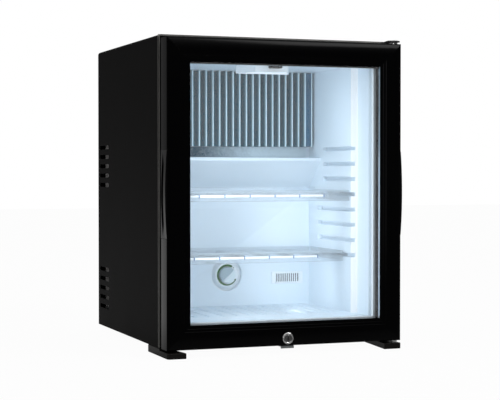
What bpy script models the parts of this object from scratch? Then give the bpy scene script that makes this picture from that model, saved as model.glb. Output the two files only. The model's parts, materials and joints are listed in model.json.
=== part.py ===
"""A table-top minibar: foamed steel cabinet, hinged glass door, absorption cooling unit.

Metres, +Z up. Pieces are drawn in cabinet coordinates: x across from the middle of the cabinet,
y from the cabinet's front plane towards its rear, z up from its underside. One empty carries all of
them to the model's own origin, which is on the floor at the middle of the whole outline.
"""
import math

import bmesh
import bpy
from mathutils import Matrix, Vector

# Cabinet
CABINET_WIDTH = 0.402
CABINET_HEIGHT = 0.494
CABINET_DEPTH = 0.376
SIDE_WALL = 0.0395
TOP_WALL = 0.040
FLOOR_WALL = 0.040
SHELL_SHEET = 0.0009
SHELL_CORNER = 0.005
FRONT_RETURN = 0.014
REAR_RETURN = 0.0145
BOTTOM_LIP = 0.014
FIT_GAP = 0.0003
COMPARTMENT_DEPTH = 0.114
COMPARTMENT_INLET = ((0.096 - CABINET_WIDTH / 2, CABINET_DEPTH - 0.091),
                     (CABINET_WIDTH / 2 - 0.051, CABINET_DEPTH - 0.014))

# Vent slots in both sides of the rear compartment
VENT_START = CABINET_DEPTH - 0.073
VENT_END = CABINET_DEPTH - 0.012
VENT_HEIGHT = 0.007
VENT_PITCH = 0.0167
VENT_COUNT = 5
VENT_LOWEST = (0.036, 0.254)

# Liner
LINER_WALL = 0.002
MOUTH_DEPTH = 0.044
SHELF_LEDGE = 0.0115
CAVITY_DEPTH = CABINET_DEPTH - 0.151
GROOVE_COUNT = 8
GROOVE_TOP = 0.3172
GROOVE_PITCH = 0.0258
GROOVE_HEIGHT = 0.0066
GROOVE_DEPTH = 0.008
SHORT_GROOVES = 3
SHORT_GROOVE_END = CAVITY_DEPTH - 0.064
LONG_GROOVE_END = CAVITY_DEPTH - 0.040

# Drip trough moulded across the liner's back wall
TROUGH_LIP_HEIGHT = 0.302
TROUGH_REACH = 0.0515
TROUGH_LIP_THICKNESS = 0.008
TROUGH_LIP_DEPTH = 0.005
TROUGH_FLOOR_FALL = 0.006
TROUGH_UNDERSIDE = 0.054
DRAIN_X = CABINET_WIDTH / 2 - 0.101
DRAIN_RADIUS = 0.003
DRAIN_LENGTH = 0.046

# Evaporator
FIN_PITCH = 0.0124
FIN_COUNT = 2 * int((CABINET_WIDTH / 2 - SIDE_WALL - SHELF_LEDGE) / FIN_PITCH)
FIN_THICKNESS = 0.0018
FIN_DEPTH = 0.0257
FIN_BASE = 0.004
FIN_FOOT_HEIGHT = 0.322
EVAPORATOR_TUBE_HEIGHT = 0.370
EVAPORATOR_TUBE_RADIUS = 0.008
EVAPORATOR_HALF_SPAN = CABINET_WIDTH / 2 - 0.106
EVAPORATOR_BLOCK_SIZE = (0.160, 0.008, 0.056)
EVAPORATOR_SCREWS = ((-0.062, 0.3835), (-0.062, 0.3455), (0.0744, 0.391), (0.0744, 0.354))

# Lamp and door switch under the ceiling
LAMP_FRONT = 0.028
LAMP_REAR = 0.071
LAMP_FRONT_HALF = 0.0285
LAMP_REAR_HALF = 0.0475
LAMP_HEIGHT = 0.0135
LAMP_WALL = 0.0018
SWITCH_FRONT = 0.002
SWITCH_REAR = 0.0275
SWITCH_HALF_WIDTH = 0.010
SWITCH_HEIGHT = 0.007
PLUNGER_RADIUS = 0.0024
PLUNGER_DROP = 0.0036
PLUNGER_TRAVEL = 0.0035

# Thermostat and temperature sensor on the back wall
THERMOSTAT_X = -0.008
THERMOSTAT_Z = 0.095
DIAL_RECESS_RADIUS = 0.0285
DIAL_RECESS_DEPTH = 0.008
DIAL_THICKNESS = 0.002
KNOB_RADIUS = 0.0143
KNOB_LENGTH = 0.014
KNOB_GRIP_WIDTH = 0.0036
KNOB_GRIP_HEIGHT = 0.0030
KNOB_GRIP_ANGLE = 42.0
SPINDLE_RADIUS = 0.003
SPINDLE_LENGTH = 0.018
THERMOSTAT_BODY = (0.030, 0.020, 0.026)
SENSOR_LOW = (CABINET_WIDTH / 2 - 0.124, 0.077)
SENSOR_SIZE = (0.060, 0.0215)
SENSOR_POCKET_MARGIN = 0.005
SENSOR_POCKET_DEPTH = 0.008
SENSOR_COVER = 0.002
SENSOR_SLOTS = 11
SENSOR_SLOT_PITCH = 0.00385
SENSOR_SLOT_WIDTH = 0.0019
SENSOR_SLOT_HEIGHT = 0.014

# Shelves
SHELF_DEPTH = CAVITY_DEPTH - 0.075
SHELF_WALL = 0.0022
SHELF_SIDE_GAP = 0.0025
SHELF_LIP = 0.0072
SHELF_SKIRT = 0.0108
SHELF_DECK = 0.0022
SHELF_DECK_TOP = 0.005
SHELF_LUG_LENGTH = SHELF_DEPTH - 0.040
SHELF_RIB_PITCH = 0.044
SHELF_RIBS = 2 * int((CABINET_WIDTH / 2 - SIDE_WALL - SHELF_LEDGE - 0.006) / SHELF_RIB_PITCH) + 1
UPPER_SHELF_LEVEL = 3
UPPER_SHELF_FRONT = 0.045
LOWER_SHELF_LEVEL = 7
LOWER_SHELF_FRONT = 0.071

# Door
DOOR_THICKNESS = 0.037
DOOR_GAP = 0.009
DOOR_BOTTOM = 0.0006
DOOR_TOP_DROP = 0.0069
MEMBER_WIDTH = 0.0382
MEMBER_CROWN_WIDTH = 0.020
MEMBER_CROWN_DEPTH = 0.004
REAR_CHAMFER_INSET = 0.003
REAR_CHAMFER_DEPTH = 0.005
RIDGE_DISTANCES = (0.0105, 0.006)
RIDGE_DROP = 0.0008
RIDGE_SLOPE = 0.0007
MITRE_GAP = 0.0002
GLASS_RECESS = 0.003
PANE = 0.004
PANE_SPACING = 0.0085
GLASS_INSET = 0.027
SPACER_INSET = 0.0299
SPACER_WIDTH = 0.0055
BEAD_INSET = 0.0354
BEAD_DEPTH = 0.0277
SKIN_WIDTH = 0.0175
INNER_FRAME_INSET = 0.0392
GASKET_INSET = 0.0185
GASKET_WIDTH = 0.015
GASKET_DART = 0.0034
GASKET_DART_LENGTH = 0.005

# Side grips set into the door's edges
GRIP_HEIGHT = 0.138
GRIP_CENTRE = 0.243
GRIP_BULGE = 0.0026
GRIP_DEPTH = 0.016
GRIP_FRONT = 0.0025
GRIP_LENGTH = 0.0315
GRIP_LIP = 0.0105
FINGER_DEPTH = 0.012
FINGER_WIDTH = 0.019
FINGER_MARGIN = 0.003

# Door hinge
HINGE_X = CABINET_WIDTH / 2 - 0.007
HINGE_Y = -0.034
PIN_RADIUS = 0.0029
PIN_ENGAGEMENT = 0.009
PIN_CLEARANCE = 0.0003
PIN_COLLAR = 0.0045
PIN_HEAD = 0.0012
BUSH_RADIUS = 0.0048
BUSH_LENGTH = 0.0098
BRACKET_SHEET = 0.0025
BRACKET_TOP_DROP = 0.0016
BRACKET_LEG = 0.030
BRACKET_INNER_X = HINGE_X - 0.016
BRACKET_LEG_INNER_X = HINGE_X - 0.008

# Lock
LOCK_HEIGHT = 0.012
LOCK_FLANGE_RADIUS = 0.0093
LOCK_FLANGE = 0.0017
LOCK_BARREL_RADIUS = 0.008
LOCK_BARREL_LENGTH = 0.0115
PLUG_RADIUS = 0.006
PLUG_STUB_RADIUS = 0.003
CAM_ENGAGEMENT = 0.0036
CAM_RADIUS = 0.004
CAM_SHEET = 0.0025
KEYWAY = (0.0018, 0.0075)
KEEPER_LEFT = -0.009
KEEPER_RIGHT = 0.0135
KEEPER_REAR = 0.036
KEEPER_SHEET = 0.0015
KEEPER_LIP = 0.0042
KEEPER_NOSE = 0.005
KEEPER_CLEARANCE = 0.0012

# Feet
FOOT_HEIGHT = 0.0125
FOOT_FRONT = -0.047
FOOT_REAR = 0.060
FOOT_FRONT_WIDTH = 0.031
FOOT_REAR_WIDTH = 0.019
FOOT_CORNER = 0.005
TONGUE_DROP = 0.0034
TONGUE_REAR = -0.004
REAR_FOOT_RADIUS = 0.014
REAR_FOOT_PLACE = (CABINET_WIDTH / 2 - 0.051, CABINET_DEPTH - 0.111)

# Absorption unit in the rear compartment
UNIT_Y = CABINET_DEPTH - 0.058
BOILER_X = 0.051 - CABINET_WIDTH / 2
BOILER_RADIUS = 0.010
BOILER_BOTTOM = 0.066
BOILER_TOP = 0.330
JACKET_RADIUS = 0.030
JACKET_BOTTOM = 0.070
JACKET_TOP = 0.325
HEATER_RADIUS = 0.0062
HEATER_OFFSET = 0.0185
HEATER_BOTTOM = 0.048
HEATER_TOP = 0.180
UNIT_TUBE_RADIUS = 0.008
CONDENSER_Z = 0.455
CONDENSER_FIN_PITCH = 0.012
CONDENSER_FINS = int((EVAPORATOR_HALF_SPAN - BOILER_X - 0.060) / CONDENSER_FIN_PITCH)
CONDENSER_FIN_SIZE = (0.0008, 0.048, 0.056)
CONDENSER_COLLAR = 0.0012
EXCHANGER_RADIUS = 0.011
VESSEL_RADIUS = 0.026
VESSEL_Z = 0.055
VESSEL_LEFT = BOILER_X + 0.038
VESSEL_RIGHT = CABINET_WIDTH / 2 - 0.041
COIL_RADIUS = 0.007
COIL_LEFT = 0.045 - EVAPORATOR_HALF_SPAN
COIL_RIGHT = CABINET_WIDTH / 2 - 0.051
COIL_RISE = 0.034
COIL_PASSES = 5
SOLUTION_RADIUS = 0.005
STRAP_SHEET = 0.0015
STRAP_HEIGHT = 0.024
STRAP_Z = 0.196
STRAP_FLANGE = 0.022
BOX_LOW = (0.006 - CABINET_WIDTH / 2, CABINET_DEPTH - 0.086)
BOX_SIZE = (0.075, 0.058, 0.034)
GLAND_RADIUS = 0.008
GLAND_LENGTH = 0.022
GLAND_X = 0.036 - CABINET_WIDTH / 2

# Screw holes
SCREW_HOLE_RADIUS = 0.0018

# Worked out from the driving dimensions
HALF_WIDTH = CABINET_WIDTH / 2
INNER_HALF = HALF_WIDTH - SHELL_SHEET - FIT_GAP
MOUTH_HALF = HALF_WIDTH - SIDE_WALL
CAVITY_HALF = MOUTH_HALF - SHELF_LEDGE
CAVITY_TOP = CABINET_HEIGHT - TOP_WALL
PANEL_REAR = CABINET_DEPTH - COMPARTMENT_DEPTH
PANEL_FRONT = PANEL_REAR - SHELL_SHEET
FLANGE_HALF = HALF_WIDTH - FRONT_RETURN - FIT_GAP
FLANGE_TOP = CABINET_HEIGHT - FRONT_RETURN - FIT_GAP
DOOR_FRONT = -DOOR_GAP - DOOR_THICKNESS
DOOR_TOP = CABINET_HEIGHT - DOOR_TOP_DROP
DOOR_REAR = -DOOR_GAP
INNER_PANE = GLASS_RECESS + PANE + PANE_SPACING
GLAZING_DEPTH = INNER_PANE + PANE
LOCK_Z = DOOR_BOTTOM + LOCK_HEIGHT
CAM_REACH = LOCK_Z + FIT_GAP + CAM_ENGAGEMENT - CAM_RADIUS
CAM_FRONT = LOCK_BARREL_LENGTH + 0.0013
OVERALL_FRONT = DOOR_FRONT - LOCK_FLANGE
DEPTH_CENTRE = (OVERALL_FRONT + CABINET_DEPTH) / 2

AXIS_TURNS = {
    "X": Matrix(((0, 0, 1), (1, 0, 0), (0, 1, 0))),
    "Y": Matrix(((1, 0, 0), (0, 0, -1), (0, 1, 0))),
    "Z": Matrix.Identity(3),
}
DIRECTIONS = {
    "+Z": Matrix.Identity(3),
    "-Z": Matrix.Rotation(math.pi, 3, "X"),
    "-Y": Matrix.Rotation(math.pi / 2, 3, "X"),
    "+Y": Matrix.Rotation(-math.pi / 2, 3, "X"),
    "+X": Matrix.Rotation(math.pi / 2, 3, "Y"),
}


# Scene helpers

def clear_scene():
    for obj in list(bpy.data.objects):
        bpy.data.objects.remove(obj)


def make_collection(name):
    group = bpy.data.collections.new(name)
    bpy.context.scene.collection.children.link(group)
    return group


def make_material(name, colour, roughness, metallic=0.0, alpha=1.0, transmission=0.0):
    material = bpy.data.materials.new(name)
    material.use_nodes = True
    shader = material.node_tree.nodes["Principled BSDF"]
    shader.inputs["Base Color"].default_value = (*colour, 1.0)
    shader.inputs["Roughness"].default_value = roughness
    shader.inputs["Metallic"].default_value = metallic
    shader.inputs["Alpha"].default_value = alpha
    shader.inputs["Transmission Weight"].default_value = transmission
    material.diffuse_color = (*colour, alpha)
    return material


def make_empty(name, place, parent=None):
    empty = bpy.data.objects.new(name, None)
    empty.empty_display_size = 0.03
    PARTS.objects.link(empty)
    empty.location = place
    if parent is not None:
        empty.parent = parent
    return empty


def new_object(mesh, turn=None, place=(0.0, 0.0, 0.0)):
    obj = bpy.data.objects.new("shape", mesh)
    matrix = Matrix.Translation(Vector(place))
    if turn is not None:
        matrix = matrix @ turn.to_4x4()
    obj.matrix_world = matrix
    return obj


def finish(obj, name, material, carrier=None):
    """Name a piece, colour it and hang it on the datum or on its joint's pivot."""
    obj.name = name
    obj.data.name = name
    obj.data.materials.clear()
    obj.data.materials.append(MATERIALS[material])
    PARTS.objects.link(obj)
    obj.parent = carrier or DATUM
    if carrier is not None:
        obj.matrix_parent_inverse = Matrix.Translation(-carrier.location)
    obj.data.shade_smooth()
    obj.data.set_sharp_from_angle(angle=math.radians(35))
    return obj


def boolean(target, tool, operation):
    """Add one live Boolean to a piece and put its tool away with the cutters."""
    if tool.name not in CUTTERS.objects:
        CUTTERS.objects.link(tool)
        tool.parent = DATUM
        tool.hide_render = True
        tool.display_type = "WIRE"
    modifier = target.modifiers.new(operation.lower(), "BOOLEAN")
    modifier.operation = operation
    modifier.solver = "EXACT"
    modifier.object = tool


def cut(target, *tools):
    for tool in tools:
        boolean(target, tool, "DIFFERENCE")
    return target


def join(target, *tools):
    for tool in tools:
        boolean(target, tool, "UNION")
    return target


def bevel(obj, width, segments=2):
    modifier = obj.modifiers.new("edges", "BEVEL")
    modifier.width = width
    modifier.segments = segments
    modifier.limit_method = "ANGLE"
    modifier.angle_limit = math.radians(50)
    return obj


# Shape helpers

def box(low, high):
    """A block between two corners."""
    bm = bmesh.new()
    bmesh.ops.create_cube(bm, size=1.0)
    low, high = Vector(low), Vector(high)
    bmesh.ops.scale(bm, vec=high - low, verts=bm.verts)
    return new_object(bm_to_mesh(bm), place=(low + high) / 2)


def bm_to_mesh(bm):
    mesh = bpy.data.meshes.new("shape")
    bm.to_mesh(mesh)
    bm.free()
    return mesh


def rod(axis, centre, radius, start, end, sides=24):
    """A cylinder along one axis; centre gives its place across the other two, in x, y, z order."""
    bm = bmesh.new()
    bmesh.ops.create_cone(bm, cap_ends=True, segments=sides, radius1=radius, radius2=radius,
                          depth=end - start)
    place = list(centre)
    place.insert("XYZ".index(axis), (start + end) / 2)
    return new_object(bm_to_mesh(bm), AXIS_TURNS[axis], place)


def prism(axis, loops, start, end):
    """Flat outlines filled and extruded: X takes (y, z) points, Y takes (x, z), Z takes (x, y)."""
    curve = bpy.data.curves.new("outline", "CURVE")
    curve.dimensions = "2D"
    curve.fill_mode = "BOTH"
    curve.extrude = (end - start) / 2
    for loop in loops:
        spline = curve.splines.new("POLY")
        spline.points.add(len(loop) - 1)
        for point, (u, v) in zip(spline.points, loop):
            point.co = (u, v, 0.0, 1.0)
        spline.use_cyclic_u = True
    mesh = curve_mesh(curve)
    place = {"X": ((start + end) / 2, 0, 0), "Y": (0, (start + end) / 2, 0),
             "Z": (0, 0, (start + end) / 2)}[axis]
    return new_object(mesh, AXIS_TURNS[axis], place)


def curve_mesh(curve):
    """The welded mesh of a curve, whose caps or filled faces are loose until then."""
    holder = bpy.data.objects.new("curve", curve)
    mesh = bpy.data.meshes.new_from_object(holder)
    bpy.data.objects.remove(holder)
    bm = bmesh.new()
    bm.from_mesh(mesh)
    bmesh.ops.remove_doubles(bm, verts=bm.verts, dist=0.00002)
    bmesh.ops.recalc_face_normals(bm, faces=bm.faces)
    bm.to_mesh(mesh)
    bm.free()
    return mesh


def bend_path(corners, radius, steps=4):
    """A path through the corners with each inner corner rounded by an arc."""
    corners = [Vector(corner) for corner in corners]
    path = [corners[0]]
    for before, corner, after in zip(corners, corners[1:], corners[2:]):
        entry = (before - corner).normalized()
        leave = (after - corner).normalized()
        half = entry.angle(leave) / 2
        reach = radius / math.tan(half)
        centre = corner + (entry + leave).normalized() * radius / math.sin(half)
        first = corner + entry * reach - centre
        last = corner + leave * reach - centre
        sweep = first.angle(last)
        for step in range(steps + 1):
            part = step / steps
            blend = (first * math.sin((1 - part) * sweep) + last * math.sin(part * sweep))
            path.append(centre + blend / math.sin(sweep))
    path.append(corners[-1])
    return path


def tube(path, radius, resolution=2):
    """A round tube along a path of points, closed at both ends."""
    curve = bpy.data.curves.new("tube", "CURVE")
    curve.dimensions = "3D"
    curve.bevel_depth = radius
    curve.bevel_resolution = resolution
    curve.use_fill_caps = True
    spline = curve.splines.new("POLY")
    spline.points.add(len(path) - 1)
    for point, place in zip(spline.points, path):
        point.co = (*place, 1.0)
    return new_object(curve_mesh(curve))


def turned(profile, place, direction="+Z", steps=24, loop=False):
    """A profile of (radius, height) points, outer side first and downwards, swept round an axis."""
    bm = bmesh.new()
    verts = [bm.verts.new((radius, 0.0, height)) for radius, height in profile]
    pairs = list(zip(verts, verts[1:]))
    if loop:
        pairs.append((verts[-1], verts[0]))
    for pair in pairs:
        bm.edges.new(pair)
    obj = new_object(bm_to_mesh(bm), DIRECTIONS[direction], place)
    screw = obj.modifiers.new("turn", "SCREW")
    screw.axis = "Z"
    screw.steps = steps
    screw.render_steps = steps
    screw.use_merge_vertices = True
    screw.merge_threshold = 0.00001
    return obj


def loft(sections, closed=False):
    """Skin over matching sections; an open run is capped at both ends."""
    bm = bmesh.new()
    rings = [[bm.verts.new(point) for point in section] for section in sections]
    runs = list(zip(rings, rings[1:]))
    if closed:
        runs.append((rings[-1], rings[0]))
    for first, second in runs:
        for index in range(len(first)):
            after = (index + 1) % len(first)
            bm.faces.new((first[index], first[after], second[after], second[index]))
    if not closed:
        bm.faces.new(rings[0])
        bm.faces.new(rings[-1])
    bmesh.ops.recalc_face_normals(bm, faces=bm.faces)
    return new_object(bm_to_mesh(bm))


def group(shapes):
    """Several separate solids as one mesh, with their modifiers applied."""
    bm = bmesh.new()
    for shape in shapes:
        bpy.context.scene.collection.objects.link(shape)
    bpy.context.view_layer.update()
    graph = bpy.context.evaluated_depsgraph_get()
    for shape in shapes:
        mesh = bpy.data.meshes.new_from_object(shape.evaluated_get(graph))
        mesh.transform(shape.matrix_world)
        bm.from_mesh(mesh)
        bpy.data.meshes.remove(mesh)
    for shape in shapes:
        bpy.data.objects.remove(shape)
    return new_object(bm_to_mesh(bm))


def arc(centre, radius, start, end, steps):
    """Points on a circle between two angles in degrees."""
    points = []
    for step in range(steps + 1):
        angle = math.radians(start + (end - start) * step / steps)
        points.append((centre[0] + radius * math.cos(angle), centre[1] + radius * math.sin(angle)))
    return points


def rectangle(low, high):
    return [low, (high[0], low[1]), high, (low[0], high[1])]


def stadium(low, high, steps=4):
    """A slot outline with round ends, lying along its first direction."""
    radius = (high[1] - low[1]) / 2
    middle = (high[1] + low[1]) / 2
    right = arc((high[0] - radius, middle), radius, -90, 90, steps)
    left = arc((low[0] + radius, middle), radius, 90, 270, steps)
    return right + left


def inset_outline(points, distance):
    """A counter-clockwise outline moved inwards by a distance, corner by corner."""
    moved = []
    count = len(points)
    for index in range(count):
        before = Vector(points[index - 1])
        corner = Vector(points[index])
        after = Vector(points[(index + 1) % count])
        first = (corner - before).normalized()
        second = (after - corner).normalized()
        normal_a = Vector((-first.y, first.x))
        normal_b = Vector((-second.y, second.x))
        along = distance / (1 + normal_a.dot(normal_b))
        moved.append(tuple(corner + (normal_a + normal_b) * along))
    return moved


# Cabinet

def shell_outline(inset, base=0.0):
    """The wrap seen from the front, moved inwards, from its left foot round to its right foot."""
    half = HALF_WIDTH - inset
    top = CABINET_HEIGHT - inset
    radius = max(SHELL_CORNER - inset, 0.0004)
    left = arc((-half + radius, top - radius), radius, 180, 90, 4)
    right = arc((half - radius, top - radius), radius, 90, 0, 4)
    return [(-half, base)] + left + right + [(half, base)]


def outer_shell():
    """Painted sheet folded over both sides and the top, with returns at the front and rear."""
    stations = ((FRONT_RETURN, 0.0), (0.0, 0.0), (0.0, CABINET_DEPTH), (REAR_RETURN, CABINET_DEPTH))
    bm = bmesh.new()
    rows = [[bm.verts.new((x, y, z)) for x, z in shell_outline(inset)]
            for inset, y in stations]
    for first, second in zip(rows, rows[1:]):
        for index in range(len(first) - 1):
            bm.faces.new((first[index], first[index + 1], second[index + 1], second[index]))
    bmesh.ops.recalc_face_normals(bm, faces=bm.faces)
    top_face = max(bm.faces, key=lambda face: face.calc_center_median().z)
    if top_face.normal.z < 0:
        bmesh.ops.reverse_faces(bm, faces=bm.faces)
    shell = new_object(bm_to_mesh(bm))
    sheet = shell.modifiers.new("sheet", "SOLIDIFY")
    sheet.thickness = SHELL_SHEET
    sheet.offset = -1.0
    sheet.use_even_offset = True
    slots = []
    for lowest in VENT_LOWEST:
        for index in range(VENT_COUNT):
            low = lowest - VENT_HEIGHT / 2 + index * VENT_PITCH
            outline = stadium((VENT_START, low), (VENT_END, low + VENT_HEIGHT), 3)
            slots.append(prism("X", [outline], -HALF_WIDTH - 0.01, HALF_WIDTH + 0.01))
    cut(shell, group(slots))
    finish(shell, "outer_shell", "cabinet_paint")


def bottom_panel():
    """Floor sheet between the shell's sides, turned up at the front, open under the cooling unit."""
    rear = CABINET_DEPTH - SHELL_SHEET - FIT_GAP
    start = SHELL_SHEET + FIT_GAP
    low, high = COMPARTMENT_INLET
    panel = prism("Z", [rectangle((-INNER_HALF, start), (INNER_HALF, rear)), rectangle(low, high)],
                  0.0, SHELL_SHEET)
    lip = prism("X", [[(0.0, 0.0), (2 * start, 0.0), (2 * start, SHELL_SHEET),
                       (SHELL_SHEET, SHELL_SHEET), (SHELL_SHEET, BOTTOM_LIP), (0.0, BOTTOM_LIP)]],
                -FLANGE_HALF, FLANGE_HALF)
    join(panel, lip)
    finish(panel, "bottom_panel", "cabinet_paint")


def trough_outline():
    """Counter-clockwise (y, z) outline of the drip trough's moulding, run into the back wall."""
    lip_front = CAVITY_DEPTH - TROUGH_REACH
    lip_rear = lip_front + TROUGH_LIP_THICKNESS
    past = 0.015
    fall = TROUGH_UNDERSIDE - TROUGH_LIP_DEPTH
    foot = TROUGH_LIP_HEIGHT - TROUGH_UNDERSIDE - fall * past / TROUGH_REACH
    lip_low = TROUGH_LIP_HEIGHT - TROUGH_LIP_DEPTH
    return [(lip_front, lip_low), (CAVITY_DEPTH + past, foot),
            (CAVITY_DEPTH + past, lip_low - TROUGH_FLOOR_FALL),
            (lip_rear, lip_low), (lip_rear, TROUGH_LIP_HEIGHT), (lip_front, TROUGH_LIP_HEIGHT)]


def groove_level(index):
    return GROOVE_TOP - GROOVE_PITCH * index


def groove_end(index):
    return SHORT_GROOVE_END if index < SHORT_GROOVES else LONG_GROOVE_END


def cavity_form(grow, front):
    """The space inside the liner, or the liner's outside when grown by its wall."""
    low = FLOOR_WALL - grow
    high = CAVITY_TOP + grow
    form = box((-CAVITY_HALF - grow, front, low), (CAVITY_HALF + grow, CAVITY_DEPTH + grow, high))
    mouth = box((-MOUTH_HALF - grow, front, low), (MOUTH_HALF + grow, MOUTH_DEPTH + grow, high))
    grooves = []
    reach = CAVITY_HALF + GROOVE_DEPTH + grow
    for index in range(GROOVE_COUNT):
        half = GROOVE_HEIGHT / 2 + grow
        level = groove_level(index)
        grooves.append(box((-reach, MOUTH_DEPTH / 2, level - half),
                           (reach, groove_end(index) + grow, level + half)))
    trough = prism("X", [inset_outline(trough_outline(), grow)], -HALF_WIDTH, HALF_WIDTH)
    join(form, mouth, group(grooves))
    cut(form, trough)
    recess_end = CAVITY_DEPTH + DIAL_RECESS_DEPTH + grow
    recess = rod("Y", (THERMOSTAT_X, THERMOSTAT_Z), DIAL_RECESS_RADIUS + grow, CAVITY_DEPTH / 2,
                 recess_end, 32)
    margin = SENSOR_POCKET_MARGIN - grow
    pocket = box((SENSOR_LOW[0] + margin, CAVITY_DEPTH / 2, SENSOR_LOW[1] + margin / 2),
                 (SENSOR_LOW[0] + SENSOR_SIZE[0] - margin, CAVITY_DEPTH + SENSOR_POCKET_DEPTH + grow,
                  SENSOR_LOW[1] + SENSOR_SIZE[1] - margin / 2))
    join(form, recess, pocket)
    return form


def block_bounds(grow=0.0):
    """Corners of the aluminium block that joins the fin plate to the evaporator tube."""
    width, depth, height = EVAPORATOR_BLOCK_SIZE
    return ((-width / 2 - grow, CAVITY_DEPTH - grow, EVAPORATOR_TUBE_HEIGHT - height / 2 - grow),
            (width / 2 + grow, CAVITY_DEPTH + depth + grow,
             EVAPORATOR_TUBE_HEIGHT + height / 2 + grow))


def drain_path():
    level = TROUGH_LIP_HEIGHT - TROUGH_LIP_DEPTH - TROUGH_FLOOR_FALL + DRAIN_RADIUS
    return (DRAIN_X, level), CAVITY_DEPTH - 0.001


def evaporator_path():
    run = CAVITY_DEPTH + EVAPORATOR_BLOCK_SIZE[1] + FIT_GAP + EVAPORATOR_TUBE_RADIUS
    left, right = -EVAPORATOR_HALF_SPAN, EVAPORATOR_HALF_SPAN
    height = EVAPORATOR_TUBE_HEIGHT
    return bend_path([(left, PANEL_REAR + 0.013, height), (left, run, height),
                      (right, run, height), (right, PANEL_REAR + 0.013, height)], 0.014)


def insulated_box():
    """Liner, foam and rear panel, with the holes for what passes through them."""
    liner = cavity_form(LINER_WALL, 0.0)
    flange = box((-FLANGE_HALF, 0.0, BOTTOM_LIP + FIT_GAP), (FLANGE_HALF, LINER_WALL, FLANGE_TOP))
    join(liner, flange)
    drain_centre, drain_start = drain_path()
    spindle_hole = rod("Y", (THERMOSTAT_X, THERMOSTAT_Z), SPINDLE_RADIUS + 2 * FIT_GAP,
                       CAVITY_DEPTH / 2, PANEL_FRONT - 0.01, 16)
    drain_hole = rod("Y", drain_centre, DRAIN_RADIUS + FIT_GAP, drain_start - 0.01,
                     PANEL_REAR + 0.01, 12)
    block_hole = box(*block_bounds(FIT_GAP))
    cut(liner, cavity_form(0.0, -0.01), spindle_hole, drain_hole, block_hole)
    finish(liner, "inner_liner", "white_liner")

    outline = shell_outline(SHELL_SHEET + FIT_GAP, SHELL_SHEET + FIT_GAP)
    foam = prism("Y", [outline], LINER_WALL + FIT_GAP, PANEL_FRONT - FIT_GAP)
    width, depth, height = THERMOSTAT_BODY
    start = CAVITY_DEPTH + DIAL_RECESS_DEPTH
    body_pocket = box((THERMOSTAT_X - width / 2 - FIT_GAP, start, THERMOSTAT_Z - height / 2 - FIT_GAP),
                      (THERMOSTAT_X + width / 2 + FIT_GAP, start + LINER_WALL + depth + 2 * FIT_GAP,
                       THERMOSTAT_Z + height / 2 + FIT_GAP))
    channel = tube(evaporator_path(), EVAPORATOR_TUBE_RADIUS + FIT_GAP)
    cut(foam, cavity_form(LINER_WALL + FIT_GAP, -0.01), block_hole, body_pocket, drain_hole, channel)
    finish(foam, "foam_insulation", "foam")

    panel = prism("Y", [outline], PANEL_FRONT, PANEL_REAR)
    cut(panel, drain_hole, channel)
    finish(panel, "rear_panel", "galvanised")

    drain = turned([(DRAIN_RADIUS, DRAIN_LENGTH), (DRAIN_RADIUS, 0.0),
                    (DRAIN_RADIUS - 0.001, 0.0), (DRAIN_RADIUS - 0.001, DRAIN_LENGTH)],
                   (drain_centre[0], drain_start, drain_centre[1]), "+Y", 12, loop=True)
    finish(drain, "drain_tube", "grey_plastic")


# Evaporator

def evaporator():
    """Comb-shaped aluminium plate screwed through the back wall to the block on the tube."""
    rear = CAVITY_DEPTH - FIT_GAP
    root = rear - FIN_BASE
    tip = root - FIN_DEPTH
    top = CAVITY_TOP - FIT_GAP
    half = (FIN_COUNT - 1) * FIN_PITCH / 2 + FIN_THICKNESS / 2
    plate = box((-half, root, FIN_FOOT_HEIGHT), (half, rear, top))
    fins = []
    for index in range(FIN_COUNT):
        x = -half + index * FIN_PITCH
        fins.append(box((x, tip, FIN_FOOT_HEIGHT), (x + FIN_THICKNESS, root + 0.001, top)))
    join(plate, group(fins))
    holes = [rod("Y", place, SCREW_HOLE_RADIUS, root - 0.001, rear + 0.001, 10)
             for place in EVAPORATOR_SCREWS]
    cut(plate, group(holes))
    finish(plate, "evaporator_fin_plate", "aluminium")
    finish(box(*block_bounds()), "evaporator_block", "aluminium")
    finish(tube(evaporator_path(), EVAPORATOR_TUBE_RADIUS), "evaporator_tube", "black_steel")


# Lamp and door switch

def lamp_outline(inset):
    points = [(-LAMP_FRONT_HALF, LAMP_FRONT), (LAMP_FRONT_HALF, LAMP_FRONT),
              (LAMP_REAR_HALF, LAMP_REAR), (-LAMP_REAR_HALF, LAMP_REAR)]
    return inset_outline(points, inset)


def lamp_unit():
    top = CAVITY_TOP - FIT_GAP
    bottom = top - LAMP_HEIGHT
    lens_top = bottom + LAMP_WALL
    housing = prism("Z", [lamp_outline(0.0)], bottom, top)
    cut(housing, prism("Z", [lamp_outline(LAMP_WALL)], bottom - 0.01, top - LAMP_WALL))
    finish(housing, "lamp_housing", "white_plastic")
    lens = prism("Z", [lamp_outline(LAMP_WALL + FIT_GAP)], bottom, lens_top)
    finish(lens, "lamp_lens", "lamp_lens")
    board_top = top - LAMP_WALL - FIT_GAP
    board = prism("Z", [lamp_outline(2 * LAMP_WALL)], board_top - 0.0016, board_top)
    middle = (LAMP_FRONT + LAMP_REAR) / 2
    chips = [box((x - 0.0025, middle - 0.0025, board_top - 0.0026),
                 (x + 0.0025, middle + 0.0025, board_top - 0.0010)) for x in (-0.020, 0.0, 0.020)]
    join(board, group(chips))
    finish(board, "led_board", "circuit_board")


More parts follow.
